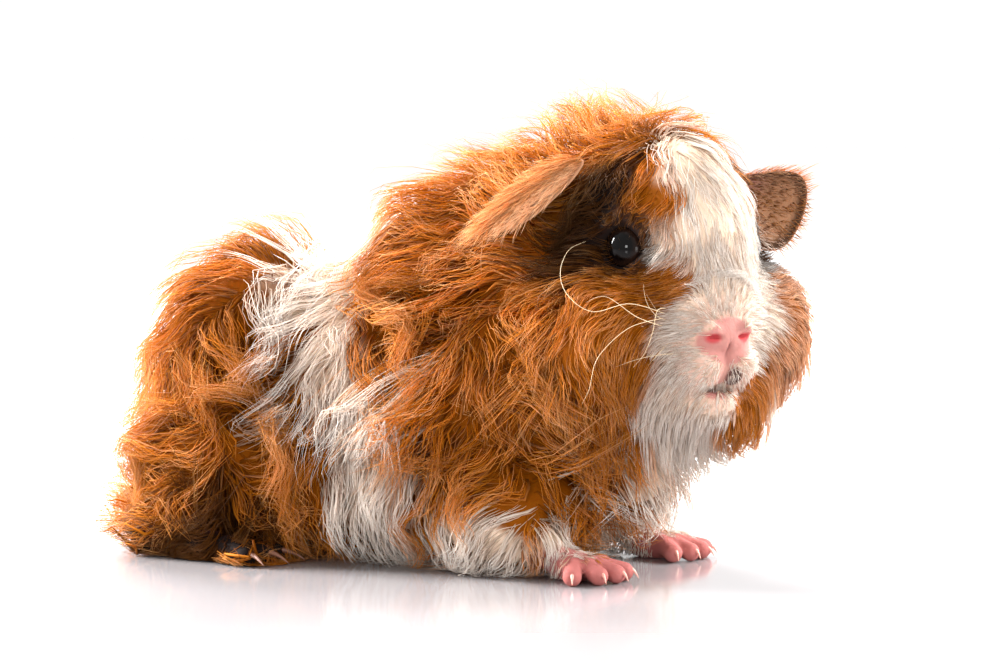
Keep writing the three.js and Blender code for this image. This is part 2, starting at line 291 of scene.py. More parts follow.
# %% The feet
FORE = dict(size=5.0, length=7.4, radius=2.0, claw=0.9, horn=0.42)
HIND = dict(size=5.5, length=11.0, radius=2.1, claw=4.6, horn=0.55)


def way_of(angle):
    return np.array([math.cos(math.radians(angle)), math.sin(math.radians(angle)), 0.0])


def rod(start, end, r0, r1):
    start, end = np.array(start, float), np.array(end, float)
    line = end - start
    length2 = line @ line

    def distance(p):
        t = np.clip((p - start) @ line / length2, 0, 1)
        return np.linalg.norm(p - start - t[:, None] * line, axis=1) - (r0 + (r1 - r0) * t)

    return distance


def toe_lines(foot, kind):
    lines = []
    for spread in foot["fan"]:
        way = way_of(foot["heading"] + spread)
        start = np.array(foot["palm"], float) + way * kind["size"] * 0.55
        end = start + way * kind["length"]
        end[2] = kind["radius"] - 0.15
        lines.append((start, end, way))
    return lines


def foot_masses(foot, kind):
    size = kind["size"]
    palm = mass(foot["palm"], (size * 1.15, size * 0.85, size * 0.62), foot["heading"])
    parts = [palm, rod(foot["heel"], foot["palm"], size * 0.6, size * 0.5)]
    for start, end, way in toe_lines(foot, kind):
        knuckle = start + way * kind["length"] * 0.35 + (0, 0, 0.5)
        parts.append(rod(start, knuckle, kind["radius"] * 0.95, kind["radius"] * 0.9))
        parts.append(rod(knuckle, end, kind["radius"] * 0.84, kind["radius"] * 0.92))
    return parts


feet = [(foot, FORE) for foot in forefeet.values()] + [(foot, HIND) for foot in hindfeet.values()]
feet_masses = [part for foot, kind in feet for part in foot_masses(foot, kind)]
for foot in hindfeet.values():
    feet_masses.append(rod(foot["heel"], (-56, foot["heel"][1] * 0.8, 22), 3.6, 9))
FEET_TOP = 26.0


# %% The whole skin
FACE_REACH = 24.0


def skin_form(p):
    """The distance to the skin."""
    skin = coat(p) + coat_depth(p)
    face = apart(p, in_head(-6, 0, -2)) < FACE_REACH
    if face.any():
        near = p[face]
        d = skin[face]
        for fillet, m in face_adds:
            d = join(fillet, d, m(near))
        for fillet, m in face_cuts:
            d = carve(fillet, d, m(near))
        skin[face] = d
    skin = eyelids(p, skin)
    low = p[:, 2] < FEET_TOP
    if low.any():
        near = p[low]
        d = blend_all(1.0, feet_masses, near)
        d = join(3.0, skin[low], d)
        skin[low] = np.maximum(d, 0.05 - near[:, 2])
    return skin


def slope_of(form, p, h=0.3):
    steps = np.eye(3) * h
    return np.stack([(form(p + s) - form(p - s)) / (2 * h) for s in steps], axis=1)


def settle(form, p, rounds=3, reach=2.0):
    """Moves points onto the form's surface, and gives its slope there."""
    for _ in range(rounds):
        slope = slope_of(form, p)
        steep = np.maximum(np.einsum("ij,ij->i", slope, slope), 0.2)
        move = (form(p) / steep)[:, None] * slope
        size = np.linalg.norm(move, axis=1, keepdims=True)
        p = p - move * np.minimum(1, reach / np.maximum(size, 1e-9))
    return p, unit(slope)


# %% [markdown]
# The skin becomes a mesh by filling space with small cells and putting one corner in every cell
# that the surface passes through. The face and feet are then divided finer, and every corner is
# settled exactly onto the surface, so that lids, nostrils and toes come out smooth.

# %% The skin's mesh
CELL = 1.0
low = np.array([-92.0, -46.0, -3.5])
high = np.array([76.0, 46.0, 99.0])
counts = np.ceil((high - low) / CELL).astype(int) + 1
grid = np.stack(np.meshgrid(*[np.arange(n) for n in counts], indexing="ij"), axis=-1)
value = np.empty(counts)
for i in range(counts[0]):
    layer = (low + grid[i] * CELL).reshape(-1, 3)
    value[i] = skin_form(layer).reshape(counts[1:])
tell("sampled the skin's form at", value.size, "nodes")


def surface_net(value, low, cell):
    """One corner in each cell that the surface passes through, and a square over each crossing."""
    shape = np.array(value.shape) - 1
    total = np.zeros((*shape, 3))
    crossings = np.zeros(shape)
    for axis in range(3):
        for corner in range(4):
            start = [0, 0, 0]
            start[(axis + 1) % 3] = corner & 1
            start[(axis + 2) % 3] = corner >> 1
            end = list(start)
            end[axis] = 1
            a = value[tuple(slice(s, s + n) for s, n in zip(start, shape))]
            b = value[tuple(slice(s, s + n) for s, n in zip(end, shape))]
            crossed = (a < 0) != (b < 0)
            share = np.where(crossed, a / np.where(crossed, a - b, 1), 0)
            spot = np.array(start, float) + share[..., None] * (np.array(end) - start)
            total += spot * crossed[..., None]
            crossings += crossed
    active = crossings > 0
    number = np.full(active.shape, -1)
    number[active] = np.arange(active.sum())
    corners = np.argwhere(active) + total[active] / crossings[active][:, None]
    squares = []
    for axis in range(3):
        one, two = np.eye(3, dtype=int)[(axis + 1) % 3], np.eye(3, dtype=int)[(axis + 2) % 3]
        inner = tuple(slice(1, -1) for _ in range(3))
        here = value[inner] < 0
        step = np.eye(3, dtype=int)[axis]
        ahead = value[tuple(slice(1 + s, n - 1 + s or None) for s, n in zip(step, value.shape))] < 0
        for inside in (True, False):
            nodes = np.argwhere((here != ahead) & (here == inside)) + 1
            ring = [nodes, nodes - one, nodes - one - two, nodes - two]
            quad = np.stack([number[tuple(r.T)] for r in ring], axis=1)
            squares.append(quad if inside else quad[:, ::-1])
    return low + corners * cell, np.concatenate(squares)


corners, squares = surface_net(value, low, CELL)


def pieces_of(count, squares):
    """The number of the connected piece that each corner belongs to."""
    label = np.arange(count)
    while True:
        lowest = label[squares].min(axis=1)
        before = label.copy()
        for k in range(4):
            np.minimum.at(label, squares[:, k], lowest)
        label = label[label]
        if (label == before).all():
            return label


label = pieces_of(len(corners), squares)
biggest = np.bincount(label).argmax()
kept = label == biggest
renumber = np.cumsum(kept) - 1
squares = renumber[squares[kept[squares[:, 0]]]]
corners = corners[kept]
tell("the skin has", len(corners), "corners")


# %% Meshes from arrays
def to_frame(p):
    return (p + home) * MM


def mesh_object(name, corners, faces):
    """An object made of corners in the animal's frame, and of triangles or squares."""
    mesh = bpy.data.meshes.new(name)
    mesh.vertices.add(len(corners))
    mesh.vertices.foreach_set("co", to_frame(corners).astype(np.float32).ravel())
    lengths = np.concatenate([np.full(len(f), f.shape[1]) for f in faces])
    loops = np.concatenate([f.ravel() for f in faces])
    mesh.loops.add(len(loops))
    mesh.loops.foreach_set("vertex_index", loops.astype(np.int32))
    mesh.polygons.add(len(lengths))
    starts = np.concatenate([[0], np.cumsum(lengths)[:-1]])
    mesh.polygons.foreach_set("loop_start", starts.astype(np.int32))
    mesh.update(calc_edges=True)
    mesh.polygons.foreach_set("use_smooth", np.ones(len(lengths), bool))
    obj = bpy.data.objects.new(name, mesh)
    bpy.context.scene.collection.objects.link(obj)
    return obj


def places_of(mesh):
    co = np.empty(len(mesh.vertices) * 3, np.float32)
    mesh.vertices.foreach_get("co", co)
    return co.reshape(-1, 3).astype(float) / MM - home


def move_to(mesh, p):
    mesh.vertices.foreach_set("co", to_frame(p).astype(np.float32).ravel())
    mesh.update()


def keep(obj, **numbers):
    """Keeps numbers on the corners of an object, for its material to read."""
    for name, values in numbers.items():
        layer = obj.data.attributes.new(name, "FLOAT", "POINT")
        layer.data.foreach_set("value", np.asarray(values, np.float32).ravel())


# %% Refine the face and the feet
skin = mesh_object("skin", settle(skin_form, corners)[0], [squares])


def divide(obj, chosen):
    """Halves the edges of the faces whose middle is chosen."""
    bm = bmesh.new()
    bm.from_mesh(obj.data)
    middles = np.array([f.calc_center_median() for f in bm.faces]) / MM - home
    faces = [f for f, use in zip(bm.faces, chosen(middles)) if use]
    edges = list({e for f in faces for e in f.edges})
    bmesh.ops.subdivide_edges(bm, edges=edges, cuts=1, use_grid_fill=True)
    bmesh.ops.triangulate(bm, faces=[f for f in bm.faces if len(f.verts) > 4])
    for face in bm.faces:
        face.smooth = True
    bm.to_mesh(obj.data)
    bm.free()
    move_to(obj.data, settle(skin_form, places_of(obj.data), 2, 0.6)[0])


def near_eye(p, reach):
    return from_eyes(p) < reach


def near_nose(p, reach):
    return apart(p, in_head(-4, 0, -3)) < reach


def on_feet(p):
    d = blend_all(1.0, feet_masses, p)
    return (p[:, 2] < 9) & (d < 0.6)


divide(skin, lambda p: near_nose(p, 13) | near_eye(p, 8) | on_feet(p))
divide(skin, lambda p: near_nose(p, 7.5) | near_eye(p, 6.4))
tell("skin refined to", len(skin.data.polygons), "faces")


# %% [markdown]
# ## The ears
# An ear is a thin, bare petal of skin and gristle, cupped across and drooping along its length.
# Its root is lost in the hair of the crown. It is drawn out of a ball and joined to the skin.

# %% Ears
EAR_LENGTH, EAR_WIDTH, EAR_THICK = 25.0, 21.0, 0.6
ear_shapes = {
    "right": dict(
        root=(-29, 16, 33), way=(-7, 20, -14), lie=(-8, 0, 2.5), cup=4, droop=2, size=0.88, front=0.4
    ),
    "left": dict(
        root=(-32, 13, 25), way=(-3, 22, -1), lie=(-3, 0, -9), cup=4, droop=3, size=0.88, front=1.0
    ),
}


class Ear:
    """The frame of one ear: from its root to its tip, across it, and out of its hollow side."""

    def __init__(self, side, root, way, lie, cup, droop, size, front):
        def outward(v):
            return unit(np.array([v[0], side * v[1], v[2]], float) @ head_axes)

        self.length = outward(way)
        self.face = unit(np.cross(outward(lie), self.length) * side)
        self.width = np.cross(self.length, self.face)
        self.start = in_head(root[0], side * root[1], root[2])
        self.cup, self.droop, self.size, self.front = cup, droop, size, front

    def place(self, reach, across, lift):
        """A place so far along, 0 to 1, and across, -1 to 1, lifted off the middle."""
        spread = (across * (1 + self.front) / 2 - (1 - self.front) / 2) * (0.72 + 0.34 * reach)
        bend = self.cup * spread**2 + self.droop * reach**2 + lift
        return (
            self.start
            + self.length * (reach * EAR_LENGTH * self.size)[:, None]
            + self.width * (spread * EAR_WIDTH / 2 * self.size)[:, None]
            + self.face * bend[:, None]
        )


ears = {name: Ear(side, **ear_shapes[name]) for name, side in SIDES.items()}


def wound(rings, around):
    """The squares between rings of corners, and the triangles to a pole beyond each end."""
    j = np.arange(around)
    k = (j + 1) % around
    row = np.arange(rings - 1)[:, None] * around
    quads = np.stack([row + j, row + around + j, row + around + k, row + k], axis=-1).reshape(-1, 4)
    pole, last = rings * around, (rings - 1) * around
    first_fan = np.stack([np.full(around, pole), j, k], axis=-1)
    last_fan = np.stack([np.full(around, pole + 1), last + k, last + j], axis=-1)
    return [quads, np.concatenate([first_fan, last_fan])]


def ball(across, down):
    """The corners and faces of a ball whose poles lie on its Y axis."""
    turn = np.linspace(0, 2 * np.pi, across, endpoint=False)
    drop = np.linspace(0, np.pi, down + 1)[1:-1]
    ring = np.stack(
        [
            np.outer(np.sin(drop), np.cos(turn)),
            np.outer(np.cos(drop), np.ones(across)),
            -np.outer(np.sin(drop), np.sin(turn)),
        ],
        axis=-1,
    ).reshape(-1, 3)
    return np.concatenate([ring, [[0, 1.0, 0], [0, -1.0, 0]]]), wound(down - 1, across)


ball_corners, ball_faces = ball(56, 30)
ear_objects = {}
for name, ear in ears.items():
    x, y, z = ball_corners.T
    reach = (y + 1) / 2
    uneven = 1 + 0.03 * np.sin(reach * 9 + 1.0)
    thick = z * EAR_THICK * (1.15 - 0.45 * reach)
    obj = mesh_object("ear_skin_" + name, ear.place(reach, x * uneven, thick), ball_faces)
    hollow = smooth((z + 0.1) / 0.5)
    rim = smooth((np.hypot(x, y) - 0.72) / 0.22)
    keep(obj, hollow=hollow, ear=np.ones(len(x)), rim=rim, reach=reach)
    ear_objects[name] = obj
EAR_NUMBERS = ("hollow", "ear", "rim", "reach")
keep(skin, **{name: np.zeros(len(skin.data.vertices)) for name in EAR_NUMBERS})


# %% [markdown]
# ## The markings
# The coat is ginger with a white blaze from the crown over the whole muzzle, a white throat, a
# white saddle round the loin and white hair over the forepaws. The edges are feathered.

# %% Where the coat is white
BLAZE_NEAR = (
    (-20, -12.1), (-12, -12.4), (-2, -14.4), (6, -13.0), (9, -8.0), (11.5, -6.8), (13.5, -9.5),
    (15.5, -11.6), (19, -11.0), (22, -10.0), (28, -8.0), (36, -7.4), (44, -8.5),
)
BLAZE_FAR = (
    (-24, 2.0), (-14, 2.2), (-9, 5.5), (-6, 12.5), (0, 16.3),
    (7, 17.6), (14, 19.5), (22, 14.0), (32, 9.0), (44, 3.0),
)
SADDLE_FRONT = (
    (2, -7.6), (15, -5.0), (26.5, -12.0), (38, -19.5),
    (49, -25.5), (60, -28.5), (69, -24.5), (77, -21.0),
)
SADDLE_REAR = (
    (2, -25.0), (18, -23.5), (27, -32.3), (35, -39.5),
    (43.5, -38.0), (47, -43.7), (58, -47.8), (65, -49.6),
)


def along_line(line, x):
    xs, ys = zip(*line)
    return np.interp(x, xs, ys)


rng = np.random.default_rng(20)


def waves(count, length, seed):
    """A smooth random field: sums of plane waves about this long, between about -1 and 1."""
    dice = np.random.default_rng(seed)
    ways = unit(dice.normal(size=(count, 3))) * (2 * np.pi / length)
    ways = ways * dice.uniform(0.7, 1.5, (count, 1))
    starts = dice.uniform(0, 2 * np.pi, count)
    return lambda p: np.sin(p @ ways.T + starts).sum(axis=1) / math.sqrt(count / 2)


edge_wobble = waves(24, 12, 3)


def whiteness(p, feather=2.0):
    """How white the coat is at these places, from 0 to 1."""
    q = to_head(p)
    wobble = edge_wobble(p) * 1.1

    def within(a, b, x):
        return np.minimum(x - a, b - x) + wobble

    blaze = within(along_line(BLAZE_NEAR, q[:, 2]), along_line(BLAZE_FAR, q[:, 2]), q[:, 1])
    blaze = np.minimum(blaze, q[:, 0] + 25 + np.maximum(0, 20 - q[:, 2]) * 0.2 + wobble)
    blaze = np.minimum(blaze, q[:, 2] + 26)
    saddle = within(along_line(SADDLE_REAR, p[:, 2]), along_line(SADDLE_FRONT, p[:, 2]), p[:, 0])
    throat = 13 - apart(p, (51, -8, 16), (1.4, 1.05, 1.5)) + wobble
    throat = np.minimum(throat, apart(q, (-13, 9.5, -15), (1, 1, 1.15)) - 8 + wobble)
    fore = [14 - apart(p, (9, y, 3), (1.0, 0.9, 0.58)) + wobble for y in (-33, 18)]
    fore += [r - apart(p, (27, y, 3)) + wobble * 0.5 for y, r in ((-28, 7), (13, 12))]
    most = np.max([blaze, saddle, throat, *fore], axis=0)
    return smooth(0.5 + most / (2 * feather))


# %% [markdown]
# ## The lie of the coat
# Each comb stroke says which way the hair lies near one place. Everywhere else the strokes are
# mixed by how near they are, laid along the skin, and turned a little by a smooth random field,
# which makes the swirls between the locks.

# %% Comb strokes
TRUNK_STROKES = (
    ((-55, 5, 68), (-1, 0.1, -0.1), 14),
    ((-76, 8, 45), (-0.5, 0, -1), 16),
    ((-60, 26, 45), (-0.6, 0, -0.8), 15),
    ((-62, 30, 20), (-0.9, 0, -0.45), 15),
    ((-40, 26, 12), (0.1, 0, -1), 14),
    ((-32, 10, 66), (-0.35, 0.5, -0.8), 14),
    ((-32, 28, 45), (-0.15, 0, -1), 14),
    ((-20, 32, 22), (0.35, 0, -1), 15),
    ((-8, 8, 80), (-0.9, 0.3, 0.1), 14),
    ((-8, 26, 62), (-0.8, 0.2, -0.6), 15),
    ((5, 30, 40), (-0.5, 0, -0.9), 14),
    ((12, 34, 22), (0.45, 0, -0.9), 13),
    ((12, 33, 8), (-0.9, 0, -0.4), 9),
    ((25, 30, 9), (0.35, 0, -0.9), 5),
    ((32, 22, 30), (0.5, 0, -0.9), 13),
    ((50, 8, 22), (0.35, 0, -1), 12),
    ((20, 20, 85), (-0.7, 0.1, 0.6), 13),
)
SADDLE_STROKES = (((-32, 0, 66), (-1, -0.25, 0.1), 10), ((-16, 0, 74), (-1, -0.2, 0), 10))
CHEEK_STROKES = (
    ((-46, 6, 44), (-0.7, 0.2, 0.75), 11),
    ((-42, 20, 26), (-0.9, 0.3, 0.1), 11),
    ((-40, 26, 4), (-0.6, 0.2, -0.9), 13),
    ((-24, 26, 2), (-0.45, 0.2, -1), 10),
    ((-16, 18, 6), (-0.8, 0.6, -0.5), 8),
    ((-22, 20, -14), (-0.2, 0.1, -1), 9),
    ((-27, 15, 16), (-0.9, 0.4, -0.2), 6),
    ((-26, 13, 30), (-0.1, 0.15, -1), 7),
    ((-18, 10, 21), (-0.1, 0.1, -1), 5),
    ((-13, 9, 12), (-0.6, 0.6, -0.4), 5),
    ((-6, 7, 0), (-0.8, 0.6, -0.1), 5),
    ((-9, 7, -8), (-0.7, 0.5, -0.5), 5),
    ((-10, 4, -17), (-0.5, 0.1, -0.8), 6),
)
BROW_STROKES = (
    ((-26, 0, 44), (-0.6, 0.2, 0.8), 7),
    ((-18, 0, 34), (0.2, 0.3, -0.9), 8),
    ((-11, 2, 20), (0.1, 0.2, -0.95), 8),
    ((-6, 0, 8), (-0.5, 0.1, 0.9), 4),
    ((-4, 0, 6), (-0.6, 0, 0.8), 3.5),
)


def mirrored(stroke, side):
    (x, y, z), (a, b, c), reach = stroke
    return (x, side * y, z), (a, side * b, c), reach


def on_head(place, way, reach):
    return in_head(*place), np.array(way, float) @ head_axes, reach


strokes = [mirrored(stroke, side) for stroke in TRUNK_STROKES for side in SIDES.values()]
strokes += SADDLE_STROKES
strokes += [on_head(*mirrored(stroke, side)) for side in SIDES.values() for stroke in CHEEK_STROKES]
strokes += [on_head(*stroke) for stroke in BROW_STROKES]
stroke_places, stroke_ways, stroke_reaches = [np.array(v, float) for v in zip(*strokes)]
stroke_ways = unit(stroke_ways)
swirl = waves(24, 26, 5)
ripple = waves(24, 11, 6)


def turned(v, axis, angle):
    c, s = np.cos(angle)[:, None], np.sin(angle)[:, None]
    return v * c + np.cross(axis, v) * s


def comb(p, normal):
    """Which way the hair lies at these places on the skin."""
    away = np.linalg.norm(p[:, None] - stroke_places, axis=2) / stroke_reaches
    weight = np.exp(-away * away) + 1e-4 / (1 + away**4)
    way = (weight[:, :, None] * stroke_ways).sum(axis=1)
    way = unit(way - normal * np.einsum("ij,ij->i", way, normal)[:, None])
    calm = 0.25 + 0.75 * smooth((apart(p, in_head(-8, 0, 8)) - 14) / 22)
    calm = calm * (1 - 0.8 * whiteness(p, 6.0))
    return turned(way, normal, calm * (0.5 * swirl(p) + 0.3 * ripple(p)))


# %% [markdown]
# ## The locks
# Hair grows in locks. Each lock starts at one root on the skin and follows the comb for its
# length, and its strands start round that root and draw together towards the tip.

# %% How the hair differs over the body
def coat_kind(p):
    """Lock spacing, length, curl and strand width at these places, in mm."""
    q = to_head(p)
    nose = apart(q, (-4, 0, -2))
    back = smooth((nose - 8) / 34)
    spacing = 1.05 + 1.35 * back
    length = 3.7 + 5.3 * smooth((nose - 8) / 26) + 8.0 * smooth((nose - 34) / 36)
    mouth = apart(q, (-3, 0, -5), (1, 0.9, 1.4))
    length = length * (0.4 + 0.6 * smooth((mouth - 4.5) / 6))
    beard = 2.5 * smooth((nose - 9) / 7) * smooth((-1 - q[:, 2]) / 6)
    length = length + beard * (1 - smooth((nose - 22) / 8))
    length = length + 4.0 * np.exp(-(((q - (-18, 1, 32)) / (12, 8, 12)) ** 2).sum(axis=1))
    curl = 0.12 + 0.7 * smooth((nose - 12) / 20) + 0.5 * smooth((nose - 36) / 30)
    width = 0.06 + 0.045 * back
    short = smooth((from_eyes(p) - 4.6) / 9)
    length = length * (0.22 + 0.78 * short)
    spacing = spacing * (0.6 + 0.4 * short)
    curl = curl * (0.3 + 0.7 * short)
    for foot in forefeet.values():
        near = smooth((apart(p - np.array(foot["palm"], float), (2, 0, 0)) - 4.5) / 10)
        length = length * (0.2 + 0.8 * near)
        spacing = spacing * (0.5 + 0.5 * near)
        curl = curl * (0.2 + 0.8 * near)
        width = width * (0.6 + 0.4 * near)
    for foot in hindfeet.values():
        far = apart(p - np.array(foot["palm"], float), (4, 0, 0), by=(0.4, 1, 1))
        near = smooth((far - 3.5) / 4)
        length = length * (0.36 + 0.64 * near)
        spacing = spacing * (0.4 + 0.6 * near)
        width = width * (0.6 + 0.4 * near)
    haunch = smooth((-38 - p[:, 0]) / 8) * smooth((26 - p[:, 2]) / 10)
    return spacing, length * (1 + 0.35 * haunch), curl, width


def triangles_of(obj):
    mesh = obj.data
    mesh.calc_loop_triangles()
    tris = np.empty(len(mesh.loop_triangles) * 3, np.int32)
    mesh.loop_triangles.foreach_get("vertices", tris)
    return places_of(mesh)[tris.reshape(-1, 3)]


BARE_FACE = (
    ((-3.6, 0, 0.0), (6.4, 6.0, 4.7)),
    ((-3, -0.8, -10), (4.2, 3.8, 1.5)),
    ((-3, -0.6, -5.8), (3.4, 1.7, 4.4)),
)


def is_bare(p):
    """Places on the skin that grow no coat: the nose, the lips, the lids and under the feet."""
    q = to_head(p)
    bare = p[:, 2] < 0.9
    for centre, half in BARE_FACE:
        bare |= apart(q, centre, half) < 1
    for name, eye in eyes.items():
        r = (p - eye) @ eye_axes[name].T
        bare |= (apart(r, 0) < EYE_RADIUS + 1.8) & (r[:, 0] > -0.8)
    wide = FORE["radius"] + 0.6
    for foot in forefeet.values():
        for start, end, way in toe_lines(foot, FORE):
            bare |= rod(start + way * 1.5, end, wide, wide)(p) < 0
    return bare


def area_of(tri):
    return np.linalg.norm(np.cross(tri[:, 1] - tri[:, 0], tri[:, 2] - tri[:, 0]), axis=1)


def searchable(points):
    tree = KDTree(len(points))
    for i, place in enumerate(points):
        tree.insert(place, i)
    tree.balance()
    return tree


def scatter(tri, wanted):
    """Even places over the triangles, none nearer to another than its own spacing."""
    chance = area_of(tri) / coat_kind(tri.mean(axis=1))[0] ** 2
    pick = rng.choice(len(tri), wanted, p=chance / chance.sum())
    a, b = rng.random((2, wanted, 1))
    flip = a + b > 1
    a, b = np.where(flip, 1 - a, a), np.where(flip, 1 - b, b)
    p = tri[pick, 0] + a * (tri[pick, 1] - tri[pick, 0]) + b * (tri[pick, 2] - tri[pick, 0])
    p = p[~is_bare(p)]
    spacing = coat_kind(p)[0]
    tree = searchable(p)
    free = np.ones(len(p), bool)
    chosen = []
    for i in range(len(p)):
        if free[i]:
            chosen.append(i)
            for _, j, _ in tree.find_range(p[i], spacing[i]):
                free[j] = False
    return p[chosen]


ROOT_TRIES = 60000
roots = scatter(triangles_of(skin), ROOT_TRIES)
roots, root_normals = settle(skin_form, roots, 2)
tell(len(roots), "locks")

# %% Lead each lock along the skin
TRACK = 9


def trace(roots, normals, lengths):
    """The places, normals and ways of each lock at even steps, laid along the skin."""
    place, normal = roots, normals
    way = comb(place, normal)
    track = [(place, normal, way)]
    step = (lengths / (TRACK - 1))[:, None]
    for _ in range(TRACK - 1):
        ahead = place + way * step
        settled, facing = settle(skin_form, ahead, 1)
        low = smooth((26 - ahead[:, 2:]) / 14)
        hang = smooth((-0.15 + 0.45 * low - facing[:, 2:]) / 0.35)
        pushed = np.linalg.norm(settled - ahead, axis=1)[:, None]
        hang = np.maximum(hang, smooth((pushed - 1.2) / 1.5))
        place = settled + (ahead - settled) * hang
        normal = unit(facing + (normal - facing) * hang)
        led = 0.45 * way + 0.55 * comb(place, normal) * (1 - hang) + hang * 0.5 * way
        way = unit(led - (0, 0, 0.12) * hang)
        way = unit(way - normal * np.einsum("ij,ij->i", way, normal)[:, None] * (1 - hang))
        track.append((place, normal, way))
    return [np.stack(v, axis=1) for v in zip(*track)]


def room_above(p, normal, most=20.0):
    """How far the outside of the coat is from the skin, along the normal."""
    t = np.zeros(len(p))
    for _ in range(7):
        t = np.clip(t - coat(p + normal * t[:, None]), 0, most)
    return t


clearings = [(eye + 1.8 * eye_axes[name][0], 7.4) for name, eye in eyes.items()]
clearings += [(in_head(-3, 0, 0.5), 5.0), (in_head(-2.5, 0, -5), 2.2), (in_head(-3, 0, -9.7), 2.6)]


def kept_clear(p, way, length):
    """The length, shortened where the hair would lie over an eye, the nose or the mouth."""
    for centre, radius in clearings:
        to = centre - p
        far = np.linalg.norm(to, axis=1)
        towards = np.einsum("ij,ij->i", unit(to), way)
        aside = far * np.sqrt(np.maximum(0, 1 - towards**2))
        meets = (towards > 0) & (aside < radius)
        length = np.where(meets, np.minimum(length, np.maximum(far - radius, 1.0)), length)
    return length


def lay(roots, normals):
    """The traits and the tracks of the locks that start at these roots."""
    spacing, lengths, curls, widths = coat_kind(roots)
    lengths = lengths * rng.uniform(0.8, 1.2, len(roots))
    lengths = kept_clear(roots, comb(roots, normals), lengths)
    return [spacing, lengths, curls, widths, *trace(roots, normals, lengths)]


def thin_places(laid, tri, tries, least, gap):
    """Places on the skin that few of the laid locks pass over, as at a parting."""
    tree = searchable(laid[4][:, :7].reshape(-1, 3))
    area = area_of(tri)
    pick = rng.choice(len(tri), tries, p=area / area.sum())
    p = tri[pick].mean(axis=1) + rng.normal(0, 0.2, (tries, 3))
    p = p[~is_bare(p) & (p[:, 2] > 3)]
    reach = 1.5 * coat_kind(p)[0]
    thin = np.array([len(tree.find_range(place, r)) < least for place, r in zip(p, reach)])
    chosen = []
    for place in p[thin]:
        if all(np.linalg.norm(place - other) > gap for other in chosen):
            chosen.append(place)
    return np.array(chosen)


laid = lay(roots, root_normals)
more = thin_places(laid, triangles_of(skin), tries=16000, least=9, gap=1.1)
print(len(more), "locks added where the hair parts")
more, more_normals = settle(skin_form, more, 2)
laid = [np.concatenate(v) for v in zip(laid, lay(more, more_normals))]
roots, root_normals = np.concatenate([roots, more]), np.concatenate([root_normals, more_normals])
spacing, lengths, curls, widths, track, track_normals, track_ways = laid
added = np.arange(len(roots)) >= len(roots) - len(more)
flat = track.reshape(-1, 3), track_normals.reshape(-1, 3)
room = room_above(*flat).reshape(track.shape[:2])
least = 0.3 + 0.2 * lengths * smooth((9 - lengths) / 3)
room = np.maximum(room, least[:, None])
tell("locks traced, with", room.mean().round(1), "mm of room above the skin")

# %% [markdown]
# A strand is a closed, three-sided sliver that tapers to its tip. Strands of a lock wave in step,
# which is what makes a curl, and a few leave it and stand out as loose hair.

# %% Strands from locks
STRAND_POINTS = 7
WISP_POINTS = 5
WISP_REACH = 0.7
WISP_HEIGHT = 0.5
WISP_START = 1.5
LOOSE = 0.08
SHORT_HAIR = 1.4

fleece_side = waves(28, 9, 31)
fleece_lift = waves(28, 10, 32)
fleece_depth = waves(20, 15, 33)


def at_share(values, share):
    """Values along each track, read at a share of its length."""
    x = share * (values.shape[1] - 1)
    i = np.clip(x.astype(int), 0, values.shape[1] - 2)
    f = (x - i)[..., None]
    rows = np.arange(len(values))[:, None]
    v = values if values.ndim == 3 else values[..., None]
    out = v[rows, i] * (1 - f) + v[rows, i + 1] * f
    return out if values.ndim == 3 else out[..., 0]


def held_in(centre, slack):
    """Draws in what lies further than the slack outside the coat's outline."""
    flat = centre.reshape(-1, 3)
    slack = np.broadcast_to(slack, centre.shape[:2]).ravel()
    over = np.arange(len(flat))
    for _ in range(2):
        over = over[coat(flat[over]) > slack[over]]
        outside = np.minimum(coat(flat[over]) - slack[over], skin_form(flat[over]) - SHORT_HAIR)
        over, outside = over[outside > 0], outside[outside > 0]
        flat[over] -= slope_of(coat, flat[over]) * (0.9 * outside)[:, None]
    return flat.reshape(centre.shape)


